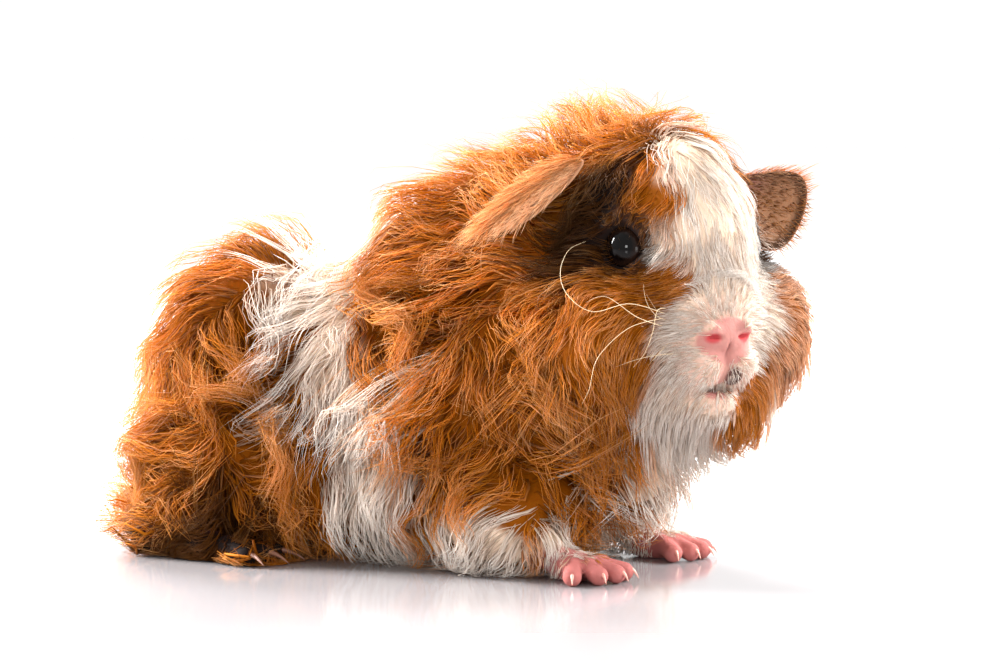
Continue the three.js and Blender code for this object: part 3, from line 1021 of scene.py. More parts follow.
def grow(lock, points, under):
    """The centre lines, half widths and normals of these locks' strands, or wisps."""
    n = len(lock)
    s = np.linspace(0, 1, points)[None, :]
    free = (rng.random((n, 1)) < (0 if under else LOOSE)).astype(float)
    share = s * rng.uniform(0.72, 1.0, (n, 1)) * (WISP_REACH if under else 1)
    centre = at_share(track[lock], share)
    normal = unit(at_share(track_normals[lock], share))
    way = unit(at_share(track_ways[lock], share))
    side = unit(np.cross(normal, way))
    top = at_share(room[lock], share)
    here = centre.reshape(-1, 3)
    fleece = (fleece_side, fleece_lift, fleece_depth)
    sway, heave, hollows = [f(here).reshape(n, points) for f in fleece]
    layer = lock_layer[lock][:, None] + rng.uniform(-0.12, 0.1, (n, 1))
    layer = layer * (1 + free * rng.uniform(0.1, 0.45, (n, 1)))
    layer = layer * (0.9 + 0.22 * hollows * np.clip(curls[lock], 0, 1)[:, None])
    layer = layer * (WISP_HEIGHT if under else 1)
    steep = lock_steep[lock][:, None]
    rise = np.clip(share / (0.75 + 0.25 * steep), 0, 1) ** (0.55 + 0.35 * steep)
    height = -0.35 + (top * layer + 0.35) * rise
    draw = 1 - (0.4 * (1 - free)) * smooth(s * 1.15)
    a, b = rng.normal(size=(2, n, 1)) * spacing[lock][:, None] * 0.5
    frizz_phase = rng.uniform(0, 2 * np.pi, (n, 1))
    travel = share * lengths[lock][:, None]
    wave = 2 * np.pi * travel / lock_wave[lock][:, None] + lock_phase[lock][:, None]
    swing = curls[lock][:, None] * np.clip(s * 1.6, 0, 1) * lock_curl[lock][:, None]
    frizz = curls[lock][:, None] * s * (0.1 if under else 0.45 + 0.8 * free)
    splay = rng.normal(0, 0.4 if under else 0.9, (n, 1)) * curls[lock][:, None] * s**1.5
    across = a * draw + swing * (0.6 * np.sin(wave) + 1.1 * sway)
    across = across + frizz * np.sin(wave * 1.37 + frizz_phase) + splay
    lift = swing * (0.35 * np.cos(wave) + 0.6 * heave)
    lift = lift + frizz * 0.6 * np.cos(wave * 1.21 + frizz_phase)
    start = way[:, :1] * ((WISP_START if under else 0.8) * (1 - s) ** 2)[..., None]
    centre = centre - start + normal * (height + lift * rise)[..., None]
    centre = centre + side * across[..., None] + way * (b * draw)[..., None]
    fine = near_nose(roots[lock], 15)[:, None] * 2.5 + near_eye(roots[lock], 8)[:, None] * 0.8
    centre = held_in(centre, 1.0 + 2.0 * free + fine)
    centre[..., 2] = np.maximum(centre[..., 2], 0.25 + 0.4 * rng.random((n, 1)))
    taper = np.clip(1.05 - s**2.2, 0.0, 1) * (0.75 + 0.25 * np.sin(np.pi * s))
    half = widths[lock][:, None] * rng.uniform(0.75, 1.2, (n, 1)) * taper * (1 - 0.35 * free)
    if under:
        half = half * np.where(lengths > 6, 4.2, 3.2)[lock][:, None]
    return centre, half, normal, share


lock_layer = rng.uniform(0.66, 1.04, len(roots))
crown = apart(roots, in_head(-42, -4, 40), (1.2, 1, 1))
lock_layer = lock_layer + 0.25 * (1 - smooth((crown - 8) / 10))
lock_steep = rng.uniform(0.0, 1.0, len(roots))
parting = apart(roots, in_head(-27, -1, 42))
lock_steep = np.where(added, 0.0, lock_steep)
lock_steep = lock_steep - 0.6 * (1 - smooth((parting - 5) / 6))
lock_wave = rng.uniform(6.5, 10.5, len(roots))
lock_phase = rng.uniform(-0.8, 0.8, len(roots)) + 2.0 * waves(16, 16, 9)(roots)
lock_curl = rng.uniform(0.5, 1.2, len(roots))
lock_tone_and_shade = np.clip(0.5 + 0.28 * waves(16, 18, 11)(roots) + rng.normal(0, 0.16, len(roots)), 0, 1)
middle = track[:, TRACK // 2] + track_normals[:, TRACK // 2] * room[:, TRACK // 2, None] * 0.8
lock_white = whiteness(middle, 1.2)
# Painted light: the far cheek's locks are paled a little towards white, as if lit strongly from
# behind on the right.
far_cheek_light = apart(to_head(middle), (-22, 20, -2), (1, 1, 1.3))
lock_white = np.maximum(lock_white, 0.3 * (1 - smooth((far_cheek_light - 12) / 8)))
# Painted light and shade: upper locks are made lighter, and locks lying lower in the fleece darker.
lock_tone_and_shade = np.clip(lock_tone_and_shade + 0.7 * (lock_layer - 0.85) + 0.18 * fleece_depth(middle), 0, 1)
curls = 1.2 * curls * (1 - 0.5 * lock_white)

# %% Strand meshes
def strand_mesh(name, centre, half, normal, numbers, place_uv, flat=0.75, streaks=0.0):
    """One piece of closed strands. numbers are values along each strand, by name."""
    n, points, _ = centre.shape
    rings = points - 1
    way = np.gradient(centre, axis=1)
    side = unit(np.cross(way, normal))
    over = unit(np.cross(side, way))
    angles = np.array([90, 210, 330]) * np.pi / 180
    ring = (
        centre[:, :rings, None]
        + half[:, :rings, None, None] * np.cos(angles)[:, None] * side[:, :rings, None]
        + half[:, :rings, None, None] * flat * np.sin(angles)[:, None] * over[:, :rings, None]
    )
    corners = np.concatenate([ring.reshape(n, rings * 3, 3), centre[:, -1:]], axis=1)
    each = rings * 3 + 1
    sides = [
        (3 * k + j, 3 * k + (j + 1) % 3, 3 * k + 3 + (j + 1) % 3, 3 * k + 3 + j)
        for k in range(rings - 1)
        for j in range(3)
    ]
    ends = [(0, 2, 1)]
    ends += [(3 * rings - 3 + j, 3 * rings - 3 + (j + 1) % 3, 3 * rings) for j in range(3)]
    first = (np.arange(n) * each)[:, None, None]
    quads = (np.array(sides) + first).reshape(-1, 4)
    tris = (np.array(ends) + first).reshape(-1, 3)
    obj = mesh_object(name, corners.reshape(-1, 3), [quads, tris])
    for key, values in numbers.items():
        values = np.broadcast_to(values.reshape(n, -1), (n, points))
        spread = np.repeat(values[:, :rings], 3, axis=1)
        keep(obj, **{key: np.concatenate([spread, values[:, -1:]], axis=1)})
    keep(obj, fibre=np.tile([0.5, 0, 1], rings + 1)[:each] * streaks + rng.uniform(0, 90, (n, 1)))
    patch = np.zeros((n, each, 2))
    patch[:, :-1, 0] = np.tile([0, 0.5, 1], rings)
    patch[:, :-1, 1] = np.repeat(np.arange(rings) / rings, 3)
    patch[:, -1] = (0.5, 1)
    uv = (place_uv[:, None] + PATCH * (patch - 0.5)).reshape(-1, 2)
    loops = np.concatenate([quads.ravel(), tris.ravel()])
    layer = obj.data.uv_layers.new(name="OFBake")
    layer.data.foreach_set("uv", uv[loops].astype(np.float32).ravel())
    return obj


def triangle_count(n, points):
    return n * (6 * (points - 2) + 4)


# %% The skin's unwrap, which the coat takes its places from
PATCH = 0.003
bpy.ops.object.select_all(action="DESELECT")
bpy.context.view_layer.objects.active = skin
for obj in (skin, *ear_objects.values()):
    obj.select_set(True)
bpy.ops.object.join()
bpy.ops.object.mode_set(mode="EDIT")
bpy.ops.mesh.select_all(action="SELECT")
bpy.ops.uv.smart_project(angle_limit=math.radians(70), island_margin=0.004)
bpy.ops.object.mode_set(mode="OBJECT")
skin.select_set(False)
skin.data.uv_layers[0].name = "OFBake"

skin_uv = np.empty(len(skin.data.loops) * 2, np.float32)
skin.data.uv_layers["OFBake"].data.foreach_get("uv", skin_uv)
skin_uv = skin_uv.reshape(-1, 2)
skin_faces = [p.vertices for p in skin.data.polygons]
tree = BVHTree.FromPolygons([v.co for v in skin.data.vertices], skin_faces)


def unwrapped(p):
    """Where these places on the skin lie on its unwrap."""
    out = np.empty((len(p), 2))
    for i, place in enumerate(to_frame(p)):
        _, _, face, _ = tree.find_nearest(place)
        loops = skin.data.polygons[face].loop_indices
        out[i] = skin_uv[loops[0] : loops[-1] + 1].mean(axis=0)
    return out


lock_uv = unwrapped(roots)
tell("skin unwrapped, roots found on it")

# %% Grow the coat
BUDGET = 1_200_000
PIECE_TRIANGLES = 185_000
under = root_normals[:, 2] < -0.55
per_lock = np.where(lengths > 9, 7.0, 5.0) * np.where(under, 0.4, 1.0)
per_lock = np.where(near_nose(roots, 26) | near_eye(roots, 12), 9.0, per_lock)
points = np.where(lengths > 9, STRAND_POINTS, np.where(lengths > 5, 6, 5))
cost = 6 * (points - 2) + 4
per_lock *= BUDGET / (per_lock * cost).sum()
strands_of = np.floor(per_lock + rng.random(len(roots))).astype(int)
wisps_of = np.floor(1.25 * np.where(under, 0.5, 1.0) + rng.random(len(roots))).astype(int)
print("strands:", strands_of.sum(), "and wisps:", wisps_of.sum())


def darkness_and_shade(p):
    """Dark hair round the eyes, and painted shade under each ear and over the hind toes."""
    q = to_head(p)
    dark = 0.85 * (1 - smooth((from_eyes(p) - 6.0) / 4.2))
    for side in SIDES.values():
        hollow = rod((-24.5, side * 15, 29.5), (-25.5, side * 20, 16), 3.5, 4.5)(q)
        dark = np.maximum(dark, 0.92 * (1 - smooth(hollow / 5.5)))
    for foot in hindfeet.values():
        toes = apart(p, foot["palm"], by=(0.45, 0.6, 1.2))
        dark = np.maximum(dark, 0.8 * (1 - smooth((toes - 4.5) / 3)))
    return dark


# Each lock takes the dark hair round the eyes, and the painted shade under the ears and over the
# hind toes.
lock_dark_and_shade = np.maximum(darkness_and_shade(roots), 0.9 * darkness_and_shade(track[:, TRACK // 2]))


def grow_pieces(name, lock, count, wisps):
    """Pieces of the coat, front to back, each small enough."""
    pieces = max(1, math.ceil(triangle_count(len(lock), count) / PIECE_TRIANGLES))
    order = np.argsort(roots[lock, 0], kind="stable")
    made = []
    for number, part in enumerate(np.array_split(lock[order], pieces)):
        if not len(part):
            continue
        centre, half, normal, share = grow(part, count, wisps)
        white = np.clip(lock_white[part] + rng.normal(0, 0.08, len(part)), 0, 1)
        tone = np.clip(lock_tone_and_shade[part] + rng.normal(0, 0.12, len(part)), 0, 1)
        numbers = dict(dark=lock_dark_and_shade[part], white=white, along=share, tone=tone)
        shape = dict(flat=0.35, streaks=1.0) if wisps else {}
        label = f"{name}_{number + 1}"
        piece = strand_mesh(label, centre, half, normal, numbers, lock_uv[part], **shape)
        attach(piece, "root")
        made.append(piece)
        print(piece.name, triangle_count(len(part), count), "triangles")
    return made


coat_pieces = []
for colour, chosen in (("ginger", lock_white < 0.5), ("white", lock_white >= 0.5)):
    for count in (STRAND_POINTS, 6, 5):
        lock = np.repeat(np.arange(len(roots)), strands_of * (chosen & (points == count)))
        coat_pieces += grow_pieces(f"coat_{colour}_{count}", lock, count, False)
    lock = np.repeat(np.arange(len(roots)), wisps_of * chosen)
    coat_pieces += grow_pieces(f"undercoat_{colour}", lock, WISP_POINTS, True)
tell("coat grown in", len(coat_pieces), "pieces")


# %% [markdown]
# ## Hair of the ears
# The back of an ear carries short, fine, pale hair that lies towards the tip and fringes the rim.

# %% Ear hair
def grow_ear(ear, count, points, dice, long, face=-1):
    """Short strands over the back of the ear, or over its hollow face, and past its rim."""
    turn = dice.uniform(0, 2 * np.pi, count)
    out = np.sqrt(dice.random(count)) * 0.99
    x, y = out * np.cos(turn), out * np.sin(turn)
    reach = (y + 1) / 2
    hind = smooth((0.35 - x) / 0.7) * (long > 0.9)
    length = dice.uniform(3.2, 6.0, count) * (0.75 + 0.4 * reach) * long * (1 + 0.9 * hind)
    s = np.linspace(0, 1, points)
    run = s[None] * (length / EAR_LENGTH)[:, None]
    fan = x[:, None] * run * np.where(x > 0, 0.3, 1.3)[:, None]
    fan = fan + dice.normal(0, 0.5, (count, 1)) * run * 2
    rise = s[None] ** 0.6 * dice.uniform(0.3, 1.2, (count, 1)) * (1 + 3.2 * hind[:, None])
    lift = face * (EAR_THICK * 0.8 + rise)
    wave = np.sin(s[None] * dice.uniform(3, 8, (count, 1)) + dice.uniform(0, 6.3, (count, 1))) * s
    wave = wave * (0.25 + 1.5 * hind[:, None])
    along, across = reach[:, None] + run, x[:, None] + fan + wave / EAR_WIDTH * 2
    centre = ear.place(along.ravel(), across.ravel(), lift.ravel()).reshape(count, points, 3)
    half = np.clip(1.03 - s**2, 0, 1)[None] * dice.uniform(0.07, 0.11, (count, 1))
    normal = np.broadcast_to(face * ear.face, centre.shape)
    return centre, half, normal, np.broadcast_to(s, (count, points)), np.stack([x, y], axis=1)


ear_dice = np.random.default_rng(77)
ear_hair = []
for name, ear, count, long, face in (
    ("right", ears["right"], 2000, 1.0, -1),
    ("left", ears["left"], 1500, 0.55, -1),
    ("left_hollow", ears["left"], 700, 0.3, 1),
):
    centre, half, normal, share, spot = grow_ear(ear, count, 5, ear_dice, long, face)
    edge = smooth((spot[:, 0] * (1 if name == "right" else -1) - 0.1) / 0.5)
    inner = smooth((0.8 * spot[:, 0] - 0.6 * spot[:, 1] + 0.05) / 0.6) * (face > 0)
    pale = np.maximum(0.1 + 0.16 * edge, 0.9 * inner) * ear_dice.uniform(0.6, 1.2, count)
    tone = 0.75 + 0.2 * edge if name == "right" else 0.45 - 0.2 * edge
    tone = tone + ear_dice.normal(0, 0.15, count)
    dark = (0.4 if face > 0 else 0.0) * (1 - inner)
    numbers = dict(dark=dark, white=pale, along=0.25 + 0.75 * share, tone=np.clip(tone, 0, 1))
    piece = strand_mesh(f"ear_hair_{name}", centre, half, normal, numbers, unwrapped(centre[:, 0]))
    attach(piece, "root")
    ear_hair.append(piece)
tell("ear hair grown")


# %% [markdown]
# ## Eyes, claws and whiskers
# The eyes are separate polished balls in the lids. The claws are curved cones of horn, one set to
# a foot. The whiskers are long, pale and a little curled in this kind of coat.

# %% Eyes
eye_corners, eye_faces = ball(64, 40)
eyeballs = []
for name, eye in eyes.items():
    out, flat, up = eye_axes[name]
    turned_ball = eye_corners[:, 1:2] * out + eye_corners[:, :1] * flat - eye_corners[:, 2:] * up
    obj = mesh_object("eyeball_" + name, eye + turned_ball * EYE_RADIUS, eye_faces)
    keep(obj, from_pupil=np.arccos(np.clip(eye_corners[:, 1], -1, 1)) / (np.pi / 2))
    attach(obj, "root")
    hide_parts("eye_" + name)
    eyeballs.append(obj)

# %% Claws
def horn(end, way, kind):
    """The centre line and radii of one claw, from inside its toe to its point."""
    t = np.linspace(0, 1, 12)
    run = t * (kind["claw"] + 0.8)
    centre = end + way * (kind["radius"] * 0.6 + run)[:, None]
    centre[:, 2] += 0.5 - 1.9 * t**2
    radius = kind["horn"] * (1 - t**1.4) ** 0.8
    centre[:, 2] = np.maximum(centre[:, 2], radius * 0.8 + 0.05)
    return centre, radius


def tube(centre, radius, around):
    """Corners and faces of a closed round tube that comes to a point at its end."""
    way = unit(np.gradient(centre, axis=0))
    side = unit(np.cross(way, (0, 0, 1.0)) + 1e-9)
    over = np.cross(side, way)
    turn = np.linspace(0, 2 * np.pi, around, endpoint=False)
    rings = len(centre) - 1
    wheel = np.cos(turn)[:, None, None] * side[:rings] + np.sin(turn)[:, None, None] * over[:rings]
    ring = centre[:rings, None] + np.swapaxes(wheel, 0, 1) * radius[:rings, None, None]
    return np.concatenate([ring.reshape(-1, 3), centre[:1], centre[-1:]]), wound(rings, around)


def tubes(name, lines, around):
    """One object of many tubes."""
    corners, faces, count = [], ([], []), 0
    for centre, radius in lines:
        c, made = tube(centre, radius, around)
        corners.append(c)
        for kept, new in zip(faces, made):
            kept.append(new + count)
        count += len(c)
    return mesh_object(name, np.concatenate(corners), [np.concatenate(f) for f in faces])


claw_pieces = []
for kind_name, kind, places in (("forepaw", FORE, forefeet), ("hindfoot", HIND, hindfeet)):
    for name, foot in places.items():
        lines = [horn(end, way, kind) for _, end, way in toe_lines(foot, kind)]
        obj = tubes(f"claws_{kind_name}_{name}", lines, 12)
        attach(obj, "root")
        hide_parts(*[f"claw_{kind_name}_{name}_{i + 1}" for i in range(len(lines))])
        claw_pieces.append(obj)

# %% Whiskers
whisker_paths = [
    [
        (-7.7, -10.5, 5), (-9.0, -17.5, 7), (-10.5, -24.5, 5.6), (-13.7, -28, 8.4),
        (-17.2, -28, 12.5), (-18.8, -25.4, 16.8), (-17.4, -22.2, 18.6),
    ],
    [(-7.4, -10.5, 6), (-6.3, -13, 5.6), (-6.3, -14, 1.5), (-7, -15.4, -2.5), (-8.6, -17, -5.2)],
    [(-7.6, -10.6, 4.2), (-8.4, -18, 2.4), (-9.4, -24, -3.0), (-11, -25, -9), (-13, -25.5, -12)],
    [(-8, -10.5, 2.5), (-7, -17, 4.6), (-8, -23, 8.5), (-9, -27, 7.5)],
]


def whisker(points, thick):
    """A smooth line through the points, in the head's frame, thinning to nothing."""
    points = np.array(points, float)
    t = np.linspace(0, len(points) - 1, 40)
    i = np.clip(t.astype(int), 0, len(points) - 2)
    f = (t - i)[:, None]
    before = points[np.maximum(i - 1, 0)]
    after = points[np.minimum(i + 2, len(points) - 1)]
    a, b = points[i], points[i + 1]
    m0, m1 = (b - before) / 2, (after - a) / 2
    line = (
        (2 * f**3 - 3 * f**2 + 1) * a + (f**3 - 2 * f**2 + f) * m0
        + (3 * f**2 - 2 * f**3) * b + (f**3 - f**2) * m1
    )
    radius = thick * (1 - np.linspace(0, 1, 40) ** 2 * 0.85)
    return NOSE_TIP + line @ head_axes, radius


whisker_dice = np.random.default_rng(5)
whisker_lines = [whisker(path, 0.06) for path in whisker_paths]
for side in SIDES.values():
    for _ in range(11):
        start = np.array([-8.0, side * 8.5, 2.0]) + whisker_dice.normal(0, (0.8, 0.6, 2.4))
        way = unit(np.array([-0.25, side * 1.0, 0.1]) + whisker_dice.normal(0, (0.25, 0.12, 0.4)))
        bend = whisker_dice.normal(0, (0.5, 0.2, 0.5))
        length = whisker_dice.uniform(8, 15)
        path = [start - way * 2]
        for step in range(5):
            path.append(path[-1] + way * length / 5)
            way = unit(way + bend * 0.5 + np.array([-0.12, 0, -0.1]))
        whisker_lines.append(whisker(path, 0.055))
whiskers = tubes("whiskers", whisker_lines, 6)
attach(whiskers, "root")
print("whiskers:", len(whisker_lines))


# %% [markdown]
# ## Materials
# One node group mixes the colours of the coat from the numbers kept on the strands: how white the
# lock is, how far along the strand, and a tone for the lock. Darker roots and lower locks are
# painted shade, and lighter tips and upper locks painted light. The skin carries the same markings.

# %% Colour helpers
def linear(red, green, blue):
    """A colour for a shader from values of 0 to 255 as seen on a screen."""
    c = np.array([red, green, blue]) / 255
    return (*np.where(c <= 0.04045, c / 12.92, ((c + 0.055) / 1.055) ** 2.4), 1.0)


def material(name, colour, rough, **sockets):
    """A plain Principled material, with these of its own values set."""
    made = bpy.data.materials.new(name)
    made.use_nodes = True
    shader = made.node_tree.nodes["Principled BSDF"]
    shader.inputs["Base Color"].default_value = colour
    shader.inputs["Roughness"].default_value = rough
    for key, value in sockets.items():
        shader.inputs[key.replace("_", " ")].default_value = value
    return made, made.node_tree, shader


def number(tree, name):
    node = tree.nodes.new("ShaderNodeAttribute")
    node.attribute_name = name
    return node.outputs["Fac"]


def ramp(tree, value, stops):
    node = tree.nodes.new("ShaderNodeValToRGB")
    while len(node.color_ramp.elements) < len(stops):
        node.color_ramp.elements.new(0.5)
    for element, (place, colour) in zip(node.color_ramp.elements, stops):
        element.position = place
        element.color = colour
    tree.links.new(value, node.inputs["Fac"])
    return node.outputs["Color"]


def maths(tree, operation, value, *numbers):
    """The result of a maths node, from a socket and these numbers after it."""
    node = tree.nodes.new("ShaderNodeMath")
    node.operation = operation
    tree.links.new(value, node.inputs[0])
    for place, fixed in enumerate(numbers):
        node.inputs[1 + place].default_value = fixed
    return node.outputs[0]


def mixed(tree, share, first, second, blend="MIX"):
    node = tree.nodes.new("ShaderNodeMix")
    node.data_type = "RGBA"
    node.blend_type = blend
    tree.links.new(share, node.inputs["Factor"])
    for socket, value in ((node.inputs[6], first), (node.inputs[7], second)):
        if isinstance(value, tuple):
            socket.default_value = value
        else:
            tree.links.new(value, socket)
    return node.outputs[2]


# %% The coat's colours
coat_colours = bpy.data.node_groups.new("coat colours", "ShaderNodeTree")
NUMBERS = ("White", "Along", "Tone", "Dark", "Fibre")
for name in NUMBERS:
    coat_colours.interface.new_socket(name, in_out="INPUT", socket_type="NodeSocketFloat")
coat_colours.interface.new_socket("Colour", in_out="OUTPUT", socket_type="NodeSocketColor")
inside = coat_colours.nodes.new("NodeGroupInput")
result = coat_colours.nodes.new("NodeGroupOutput")
# Each ramp lightens from root to tip: painted shade deep in the coat and painted light on the tips.
# DEEP and BRIGHT are two gingers, mixed by the tone.
DEEP = ((0.0, linear(104, 50, 0)), (0.4, linear(198, 114, 6)), (1.0, linear(224, 144, 26)))
BRIGHT = ((0.0, linear(150, 82, 8)), (0.4, linear(228, 144, 40)), (1.0, linear(250, 204, 146)))
PALE = ((0.0, linear(218, 192, 166)), (0.4, linear(246, 238, 229)), (1.0, linear(252, 249, 245)))
deep = ramp(coat_colours, inside.outputs["Along"], DEEP)
bright = ramp(coat_colours, inside.outputs["Along"], BRIGHT)
pale = ramp(coat_colours, inside.outputs["Along"], PALE)
ginger = mixed(coat_colours, inside.outputs["Tone"], deep, bright)
marked = mixed(coat_colours, inside.outputs["White"], ginger, pale)
shaded = mixed(coat_colours, inside.outputs["Dark"], marked, linear(34, 16, 8))
spread = coat_colours.nodes.new("ShaderNodeCombineXYZ")
for socket, source, size in (("X", "Fibre", 9.0), ("Y", "Along", 3.0)):
    scaled = maths(coat_colours, "MULTIPLY", inside.outputs[source], size)
    coat_colours.links.new(scaled, spread.inputs[socket])
streak = coat_colours.nodes.new("ShaderNodeTexNoise")
streak.inputs["Scale"].default_value = 1.0
streak.inputs["Detail"].default_value = 2.0
coat_colours.links.new(spread.outputs["Vector"], streak.inputs["Vector"])
STREAKS = ((0.3, (0.68, 0.62, 0.56, 1)), (0.7, (1.1, 1.1, 1.1, 1)))
streaks = ramp(coat_colours, streak.outputs["Fac"], STREAKS)
calmer = maths(coat_colours, "MULTIPLY_ADD", inside.outputs["White"], -0.65, 1.0)
streaked = mixed(coat_colours, calmer, shaded, streaks, "MULTIPLY")
coat_colours.links.new(streaked, result.inputs["Colour"])


def coat_colour(tree):
    group = tree.nodes.new("ShaderNodeGroup")
    group.node_tree = coat_colours
    for name in NUMBERS:
        tree.links.new(number(tree, name.lower()), group.inputs[name])
    return group.outputs["Colour"]


hair, tree, shader = material("hair", (0.5, 0.3, 0.1, 1), 0.55, Specular_IOR_Level=0.07)
colour = coat_colour(tree)
tree.links.new(colour, shader.inputs["Base Color"])
glow = tree.nodes.new("ShaderNodeBsdfTranslucent")
tree.links.new(colour, glow.inputs["Color"])
both = tree.nodes.new("ShaderNodeMixShader")
both.inputs["Fac"].default_value = 0.4
tree.links.new(shader.outputs["BSDF"], both.inputs[1])
tree.links.new(glow.outputs["BSDF"], both.inputs[2])
tree.links.new(both.outputs["Shader"], tree.nodes["Material Output"].inputs["Surface"])
for piece in (*coat_pieces, *ear_hair):
    piece.data.materials.append(hair)

# %% The skin
skin_points = places_of(skin.data)
q = to_head(skin_points)
hollow, ear_share, rim, reach = [np.empty(len(q), np.float32) for _ in EAR_NUMBERS]
for name, values in zip(EAR_NUMBERS, (hollow, ear_share, rim, reach)):
    skin.data.attributes[name].data.foreach_get("value", values)


def patch(centre, half, start, soft):
    """1 in a soft-edged ellipsoid of the head's frame, and 0 outside it."""
    return 1 - smooth((apart(q, centre, half) - start) / soft)


pad = patch((-3.6, 0, -0.2), (6.4, 6.0, 4.9), 0.9, 0.25)
cleft = patch((-3, -0.3, -5.5), (4.0, 1.9, 4.6), 0.75, 0.4)
lips = patch((-2.8, -1.0, -10.2), (4.4, 4.0, 1.5), 0.75, 0.4)
muzzle = patch((-3, 0, -3), 1, 8, 7)
spot = patch((-2.6, 1.7, -7.4), (3.0, 1.5, 2.4), 0.7, 0.5)
nostril = np.max([patch((-2.0, s * 3.3, 0.5), (2.2, 1.9, 1.3), 0.5, 0.6) for s in (-1, 1)], axis=0)
paws = smooth((0.9 - blend_all(1.0, feet_masses, skin_points)) / 0.8)
paws = paws * smooth((8 - skin_points[:, 2]) / 3)
hind = paws * smooth((-20 - skin_points[:, 0]) / 4)
ear_pink = ear_share * hollow * (1 - smooth((reach - 0.25) / 0.35)) * 0.85 * (q[:, 1] > 0)
lid = np.zeros(len(q))
for name, eye in eyes.items():
    r = (skin_points - eye) @ eye_axes[name].T
    rim_of_lid = smooth((EYE_RADIUS + 1.9 - apart(r, 0)) / 0.9) * smooth((r[:, 0] + 1.5) / 1.5)
    lid = np.maximum(lid, rim_of_lid)
# Painted shade on the skin: it takes the hair's dark places and shade, and the hollow side of each
# ear is darkened as shade, most at its dark rim.
hair_dark_and_shade = darkness_and_shade(skin_points) * (1 - ear_share)
ear_rim_and_shade = ear_share * hollow * (0.2 + 0.5 * rim)
# along and tone give the skin the coat's darkest root colour: painted shade under the hair.
keep(
    skin,
    white=whiteness(skin_points) * (1 - ear_share) + 0.25 * ear_share,
    along=0.06 + 0.15 * ear_share,
    tone=0.1 + 0.3 * ear_share,
    pink=np.max([pad, cleft * 0.85, lips, paws, ear_pink, 0.5 * muzzle], axis=0),
    fibre=6 * waves(12, 6, 40)(skin_points),
    nostril=np.maximum(nostril, 0.4 * paws),
    dark=np.max([lid, spot * 0.75, hind, 0.12 * paws, hair_dark_and_shade, ear_rim_and_shade], axis=0),
)

flesh, tree, shader = material(
    "skin",
    (0.8, 0.5, 0.45, 1),
    0.7,
    Subsurface_Weight=0.08,
    Subsurface_Scale=0.0006,
    Specular_IOR_Level=0.04,
)
colour = mixed(tree, number(tree, "pink"), coat_colour(tree), linear(176, 122, 114))
colour = mixed(tree, number(tree, "nostril"), colour, linear(176, 70, 72))
colour = mixed(tree, number(tree, "dark"), colour, linear(26, 18, 16))
tree.links.new(colour, shader.inputs["Base Color"])
place = tree.nodes.new("ShaderNodeTexCoord")
grain = tree.nodes.new("ShaderNodeTexNoise")
grain.inputs["Scale"].default_value = 1300.0
grain.inputs["Detail"].default_value = 3.0
tree.links.new(place.outputs["Object"], grain.inputs["Vector"])
bump = tree.nodes.new("ShaderNodeBump")
bump.inputs["Strength"].default_value = 0.5
bump.inputs["Distance"].default_value = 0.0003
tree.links.new(grain.outputs["Fac"], bump.inputs["Height"])
tree.links.new(bump.outputs["Normal"], shader.inputs["Normal"])
skin.data.materials.append(flesh)
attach(skin, "root")
FLESH = ["head", "neck", "trunk", "nose"]
PAIRED = ("foreleg_", "hindleg_", "forepaw_", "hindfoot_", "ear_")
FLESH += [part + side for part in PAIRED for side in SIDES]
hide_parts(*FLESH)

# %% Eyes, claws and whiskers
polish, tree, shader = material("eye", (0.01, 0.008, 0.007, 1), 0.03, Specular_IOR_Level=0.14)
PUPIL_AND_IRIS = (
    (0.0, linear(4, 3, 3)),
    (0.35, linear(6, 4, 4)),
    (0.5, linear(34, 20, 14)),
    (0.62, linear(14, 9, 8)),
)
ring = ramp(tree, number(tree, "from_pupil"), PUPIL_AND_IRIS)
tree.links.new(ring, shader.inputs["Base Color"])
for obj in eyeballs:
    obj.data.materials.append(polish)
pale_horn, tree, shader = material("pale_horn", linear(222, 158, 142), 0.4)
dark_horn, tree, shader = material("dark_horn", linear(124, 82, 62), 0.5)
for obj in claw_pieces:
    obj.data.materials.append(dark_horn if "hind" in obj.name else pale_horn)
bristle, tree, shader = material("whisker", linear(240, 214, 172), 0.35)
whiskers.data.materials.append(bristle)
base, tree, shader = material("solid", linear(190, 110, 50), 0.7)
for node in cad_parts.values():
    node.data.materials.clear()
    node.data.materials.append(base)
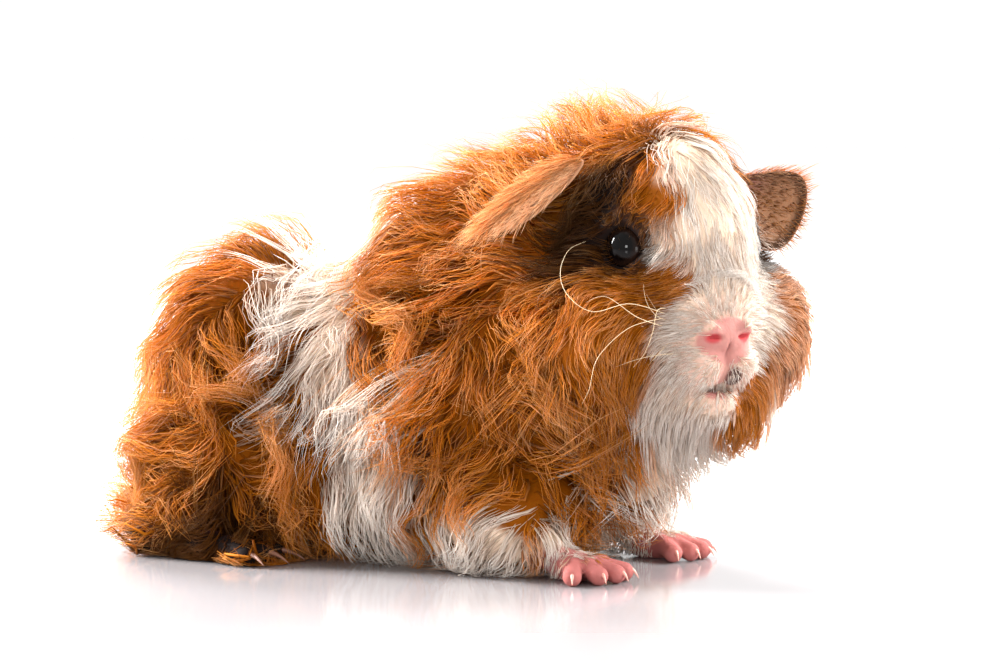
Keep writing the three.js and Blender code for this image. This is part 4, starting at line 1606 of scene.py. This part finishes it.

# %% [markdown]
# ## Floor, light and camera
# A faintly glossy floor runs out of view under an even white sky. Its colour is painted grey in
# front of and under the animal as shade, and white further back where it fades into the sky. Broad
# soft lights stand in front and behind, so that the loose hair lights up along the outline.

# %% Floor and sky
FLOOR = 3000.0
floor_corners = np.array([[-1, -1, 0], [1, -1, 0], [1, 1, 0], [-1, 1, 0]]) * FLOOR
floor = mesh_object("floor", floor_corners, [np.array([[0, 1, 2, 3]])])
gloss, tree, shader = material("floor", (0.3, 0.28, 0.285, 1), 0.12, Specular_IOR_Level=0.7)
place = tree.nodes.new("ShaderNodeTexCoord")
ahead = tree.nodes.new("ShaderNodeVectorMath")
ahead.operation = "DOT_PRODUCT"
ahead.inputs[1].default_value = (-0.42, 0.9, 0)
tree.links.new(place.outputs["Object"], ahead.inputs[0])
# Painted shade and light on the floor: grey in front of and under the animal, white from a little
# behind it.
PAINTED_FLOOR_FADE = ((0.0, (0.3, 0.28, 0.285, 1)), (0.16, (0.9, 0.9, 0.9, 1)))
tree.links.new(ramp(tree, ahead.outputs["Value"], PAINTED_FLOOR_FADE), shader.inputs["Base Color"])
floor.data.materials.append(gloss)
world = bpy.data.worlds.new("sky")
bpy.context.scene.world = world
world.use_nodes = True
sky = world.node_tree.nodes["Background"]
sky.inputs["Color"].default_value = (1, 1, 1, 1)
sky.inputs["Strength"].default_value = 1.03

# %% Soft lights
LIGHTS = (
    ("front", (0.1, -0.86, 0.2), 0.15, 2.2),
    ("low", (0.7, -0.5, 0.06), 0.2, 1.2),
    ("right", (0.8, 0.2, 0.45), 0.3, 10.0),
    ("left", (-0.85, -0.05, 0.4), 0.3, 50.0),
    ("back_left", (-0.5, 0.5, 0.55), 0.3, 29.0),
    ("back_right", (0.4, 0.6, 0.5), 0.3, 15.0),
    ("top", (-0.25, 0.25, 0.9), 0.4, 6.0),
)
middle = Vector(to_frame(np.array([0, -2, 40.0])))
for name, place, size, power in LIGHTS:
    lamp = bpy.data.lights.new(name, "AREA")
    lamp.energy = power
    lamp.size = size
    light = bpy.data.objects.new(name, lamp)
    bpy.context.scene.collection.objects.link(light)
    light.location = place
    light.rotation_euler = (middle - Vector(place)).to_track_quat("-Z", "Y").to_euler()

# %% Camera
AZIMUTH, ELEVATION, DISTANCE = math.radians(25), math.radians(4), 850.0
target = np.array([0, -2, 45.5])
back = np.array(
    [
        math.sin(AZIMUTH) * math.cos(ELEVATION),
        -math.cos(AZIMUTH) * math.cos(ELEVATION),
        math.sin(ELEVATION),
    ]
)
lens = bpy.data.cameras.new("camera")
lens.lens = 153
lens.sensor_width = 36
camera = bpy.data.objects.new("camera", lens)
bpy.context.scene.collection.objects.link(camera)
camera.location = to_frame(target + back * DISTANCE)
camera.rotation_euler = Vector(-back).to_track_quat("-Z", "Y").to_euler()
bpy.context.scene.camera = camera
bpy.context.scene.view_settings.view_transform = "Standard"
